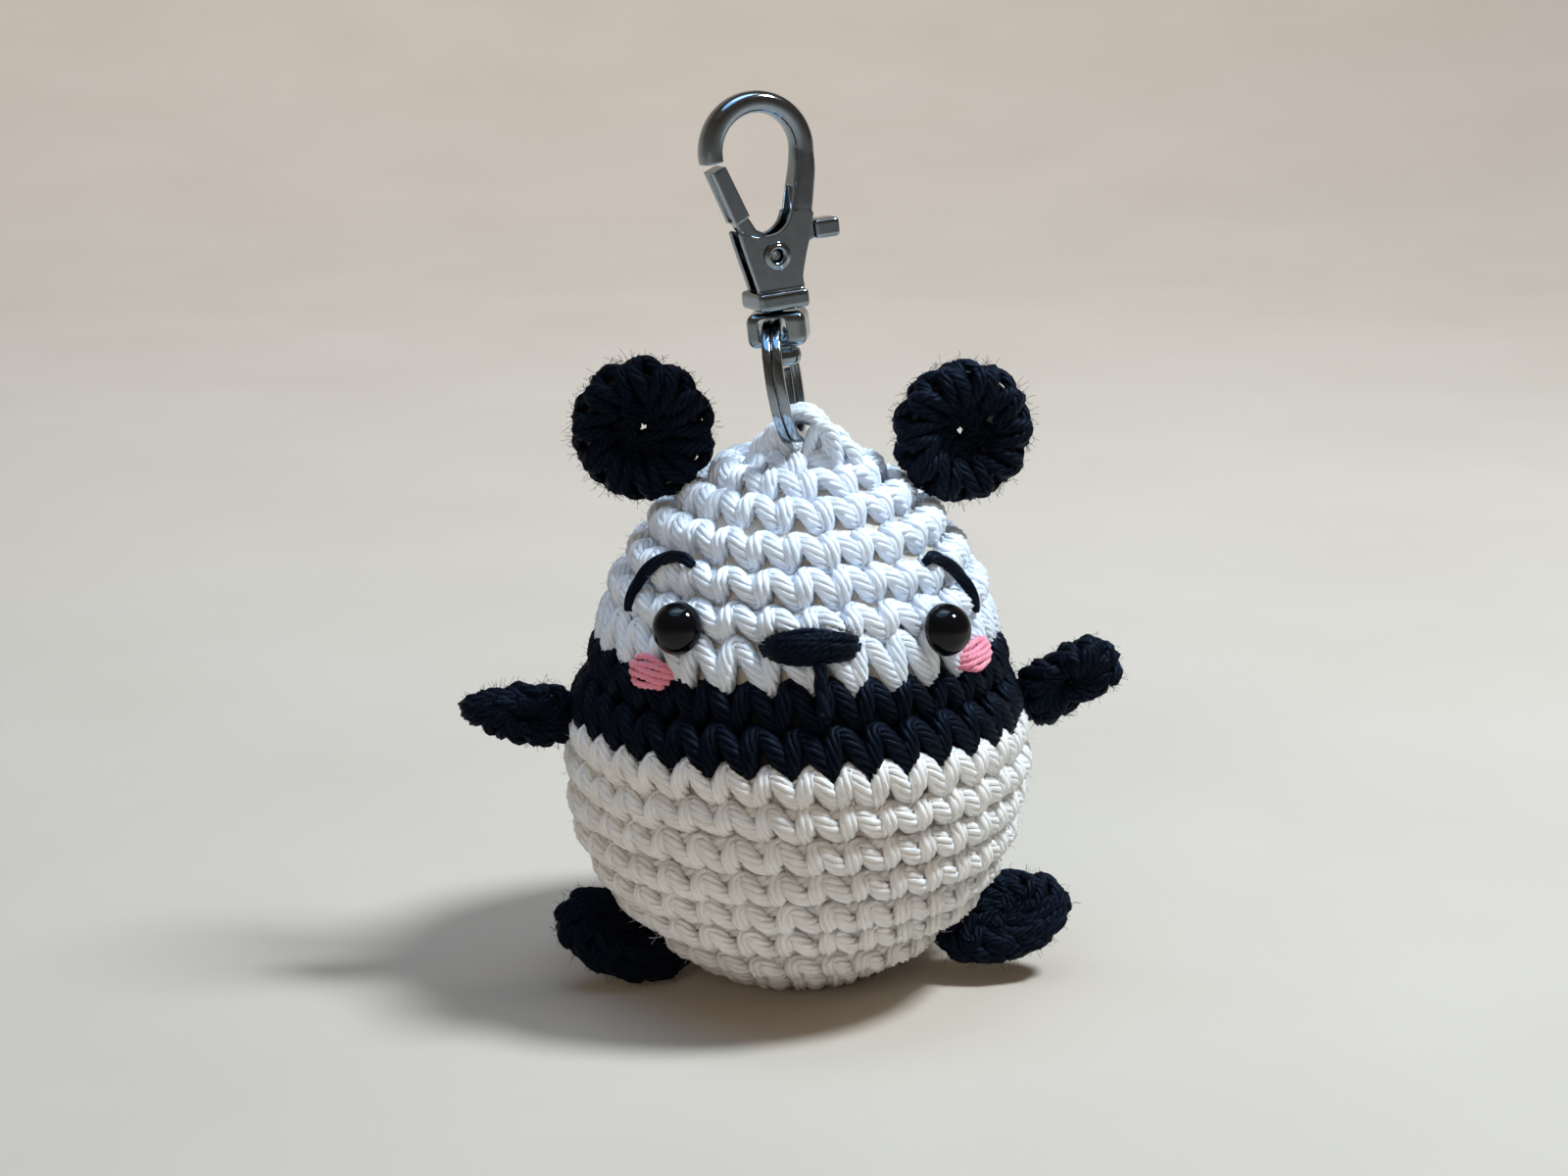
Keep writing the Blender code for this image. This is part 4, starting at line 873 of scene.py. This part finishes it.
def make_gate():
    """A folded channel arm with a rolled back, a hub on the rivet, and the thumb lever."""
    neck = plate([(-1.9, 15.2), (-0.9, 13.3), (0.6, 13.0), (1.9, 14.2), (3.6, 15.6), (5.4, 16.3), (5.4, 18.2),
                  (4.2, 18.0), (2.2, 16.9), (0.4, 17.0), (-1.8, 18.2), (-3.0, 20.4), (-4.6, 19.6)], 0.95, False)
    arm = plate([(-6.65, 25.4), (-5.0, 26.05), (-2.7, 20.0), (-4.5, 19.2)], 1.7, False)
    groove = plate([(-7.2, 25.0), (-6.3, 25.35), (-4.15, 19.6), (-5.1, 19.2)], 0.7, False)
    lever = block((5.3, -1.6, 16.1), (8.5, 1.6, 18.4), 0.5, 3)
    bore = turned_solid([(0, -5.0), (1.1, -5.0), (1.1, 5.0), (0, 5.0)], CLASP_PLACE.inverted() @ RIVET_PLACE)
    pocket = turned_solid([(0, -3.0), (2.2, -3.0), (2.2, 0.1), (0, 0.1)], CLASP_PLACE.inverted() @ RIVET_PLACE)
    gate = joined(neck, [arm, lever], [groove, bore, pocket], 0.10)
    metal_piece(gate, "gate_lever", CLASP_PLACE, NICKEL_PAINTED_DARK_REFLECTION, "trigger", "gate")


def make_spring():
    """A small torsion spring round the rivet, wound from round wire."""
    share = np.linspace(0, 1, 70)
    angle = math.radians(250.0) - 2 * math.pi * 1.25 * share
    coil = np.stack([1.65 * np.cos(angle), 0.2 + 0.5 * share, 1.65 * np.sin(angle)], 1)
    path = np.vstack([coil[:1] + (0.5, 0, -1.4), coil, coil[-1:] + (-0.25, 0, 0.3)])
    normals = np.tile((0.0, 1.0, 0.0), (len(path), 1))
    spring = sweep(path, normals, [rounded_section(0.19, 0.19, 2.0, 10)] * len(path))
    metal_piece(spring, "gate_spring_wire", CLASP_PLACE @ RIVET_UP, STEEL, "clasp", "gate_spring")


# ---- camera, light and floor -------------------------------------------------------------------
CAMERA_RISE = 17.0          # degrees above level
CAMERA_TURN = -5.4          # degrees round the toy, from straight ahead
CAMERA_DISTANCE = 360.0
LOOK_AT = Vector((0.0, 0.0, 34.0))
FRAMING = (-0.0045, 0.03867)    # how far the view's middle lies right of and above that point, per unit of distance


def make_camera():
    """A view from a little to one side of the toy's front, looking down on it."""
    rise = math.radians(CAMERA_RISE)
    place = LOOK_AT + CAMERA_DISTANCE * Vector((0.0, -math.cos(rise), math.sin(rise)))
    toward = (LOOK_AT - place).normalized()
    right = Vector((1.0, 0.0, 0.0))
    up = right.cross(toward)
    look = (toward + right * FRAMING[0] + up * FRAMING[1]).normalized()
    turn = turned(CAMERA_TURN, "Z")
    camera = bpy.data.objects.new("camera", bpy.data.cameras.new("camera"))
    camera.location = turn @ place * MM
    camera.rotation_euler = (turn.to_3x3() @ look).to_track_quat("-Z", "Y").to_euler()
    camera.data.sensor_width = 36.0
    camera.data.lens = 67.45
    camera.data.clip_start = 0.01
    camera.data.clip_end = 20.0
    bpy.context.scene.collection.objects.link(camera)
    bpy.context.scene.camera = camera
    bpy.context.scene.view_settings.view_transform = "Standard"


def area_light(name, place, target, size, power, color):
    light = bpy.data.lights.new(name, "AREA")
    light.shape = "DISK"
    light.size = size
    light.energy = power
    light.color = color
    made = bpy.data.objects.new(name, light)
    made.location = place
    made.rotation_euler = (Vector(target) - Vector(place)).to_track_quat("-Z", "Y").to_euler()
    bpy.context.scene.collection.objects.link(made)
    return made


def make_lights():
    """A cool window light from the right, a blue sky above, a warm fill, and light on the backdrop."""
    world = bpy.data.worlds.new("studio")
    world.use_nodes = True
    world.node_tree.nodes["Background"].inputs["Color"].default_value = (1.0, 0.80, 0.62, 1.0)
    world.node_tree.nodes["Background"].inputs["Strength"].default_value = 0.15
    bpy.context.scene.world = world
    area_light("key", (0.33, -0.06, 0.62), (0, 0, 0.035), 0.14, 6.2, (0.77, 0.90, 1.0))
    area_light("sky", (-0.12, 0.05, 0.8), (0, 0, 0.03), 0.6, 2.1, (0.26, 0.60, 1.0))
    front = area_light("front", (-0.35, -0.75, 0.45), (0, 0, 0.04), 0.5, 1.4, (1.0, 0.87, 0.73))
    front.visible_glossy = False
    wall = area_light("wall", (0.0, 0.30, 1.1), (0, 1.0, 0.1), 0.7, 4.2, (0.97, 0.97, 1.0))
    wall.data.spread = math.radians(110.0)


FLOOR_RADIUS, BEND_RADIUS, WALL_TOP = 0.55, 0.9, 1.5    # the backdrop, in metres
AROUND = 128                                            # its faces round the vertical


def make_backdrop():
    """A round paper floor that bends up into a wall on every side."""
    bend = [(FLOOR_RADIUS + BEND_RADIUS * math.sin(a), BEND_RADIUS - BEND_RADIUS * math.cos(a))
            for a in np.linspace(0, math.pi / 2, 40)]
    profile = np.array([(0.001, 0.0), (0.2, 0.0), (0.4, 0.0)] + bend + [(FLOOR_RADIUS + BEND_RADIUS, WALL_TOP)])
    around = np.arange(AROUND) / AROUND * 2 * math.pi
    verts = np.stack([profile[:, None, 0] * np.cos(around), profile[:, None, 0] * np.sin(around),
                      profile[:, None, 1] + 0 * around], -1).reshape(-1, 3)
    faces = [(i * AROUND + k, i * AROUND + (k + 1) % AROUND,
              (i + 1) * AROUND + (k + 1) % AROUND, (i + 1) * AROUND + k)
             for i in range(len(profile) - 1) for k in range(AROUND)]
    mesh = bpy.data.meshes.new("backdrop")
    mesh.from_pydata(verts.tolist(), [], faces)
    mesh.shade_smooth()
    paper = Nodes("backdrop_paper")
    spot = paper.add("TexCoord").outputs["Object"]
    grain = paper.add("TexNoise", {"Vector": spot}, Scale=18.0, Detail=5.0)
    paper.link(paper.ramp(grain.outputs["Fac"], [(0.3, (0.508, 0.441, 0.37)), (0.7, (0.533, 0.466, 0.395))]),
               "Base Color")
    paper.set(Roughness=0.85, Specular__IOR__Level=0.2)
    mesh.materials.append(paper.material)
    backdrop = bpy.data.objects.new("backdrop", mesh)
    bpy.context.scene.collection.objects.link(backdrop)


def finish_cad_nodes():
    """The washers keep their CAD shape and get a nylon finish."""
    for name in ("eye_washer_left", "eye_washer_right"):
        NODES[name].data.materials.clear()
        NODES[name].data.materials.append(NYLON)


make_camera()
make_lights()
make_backdrop()
make_body()
make_ears()
make_feet()
make_arms()
make_face()
make_eyes()
make_loop()
make_filling()
make_ring()
make_barrel()
make_clasp_body()
make_rivet()
make_gate()
make_spring()
finish_cad_nodes()
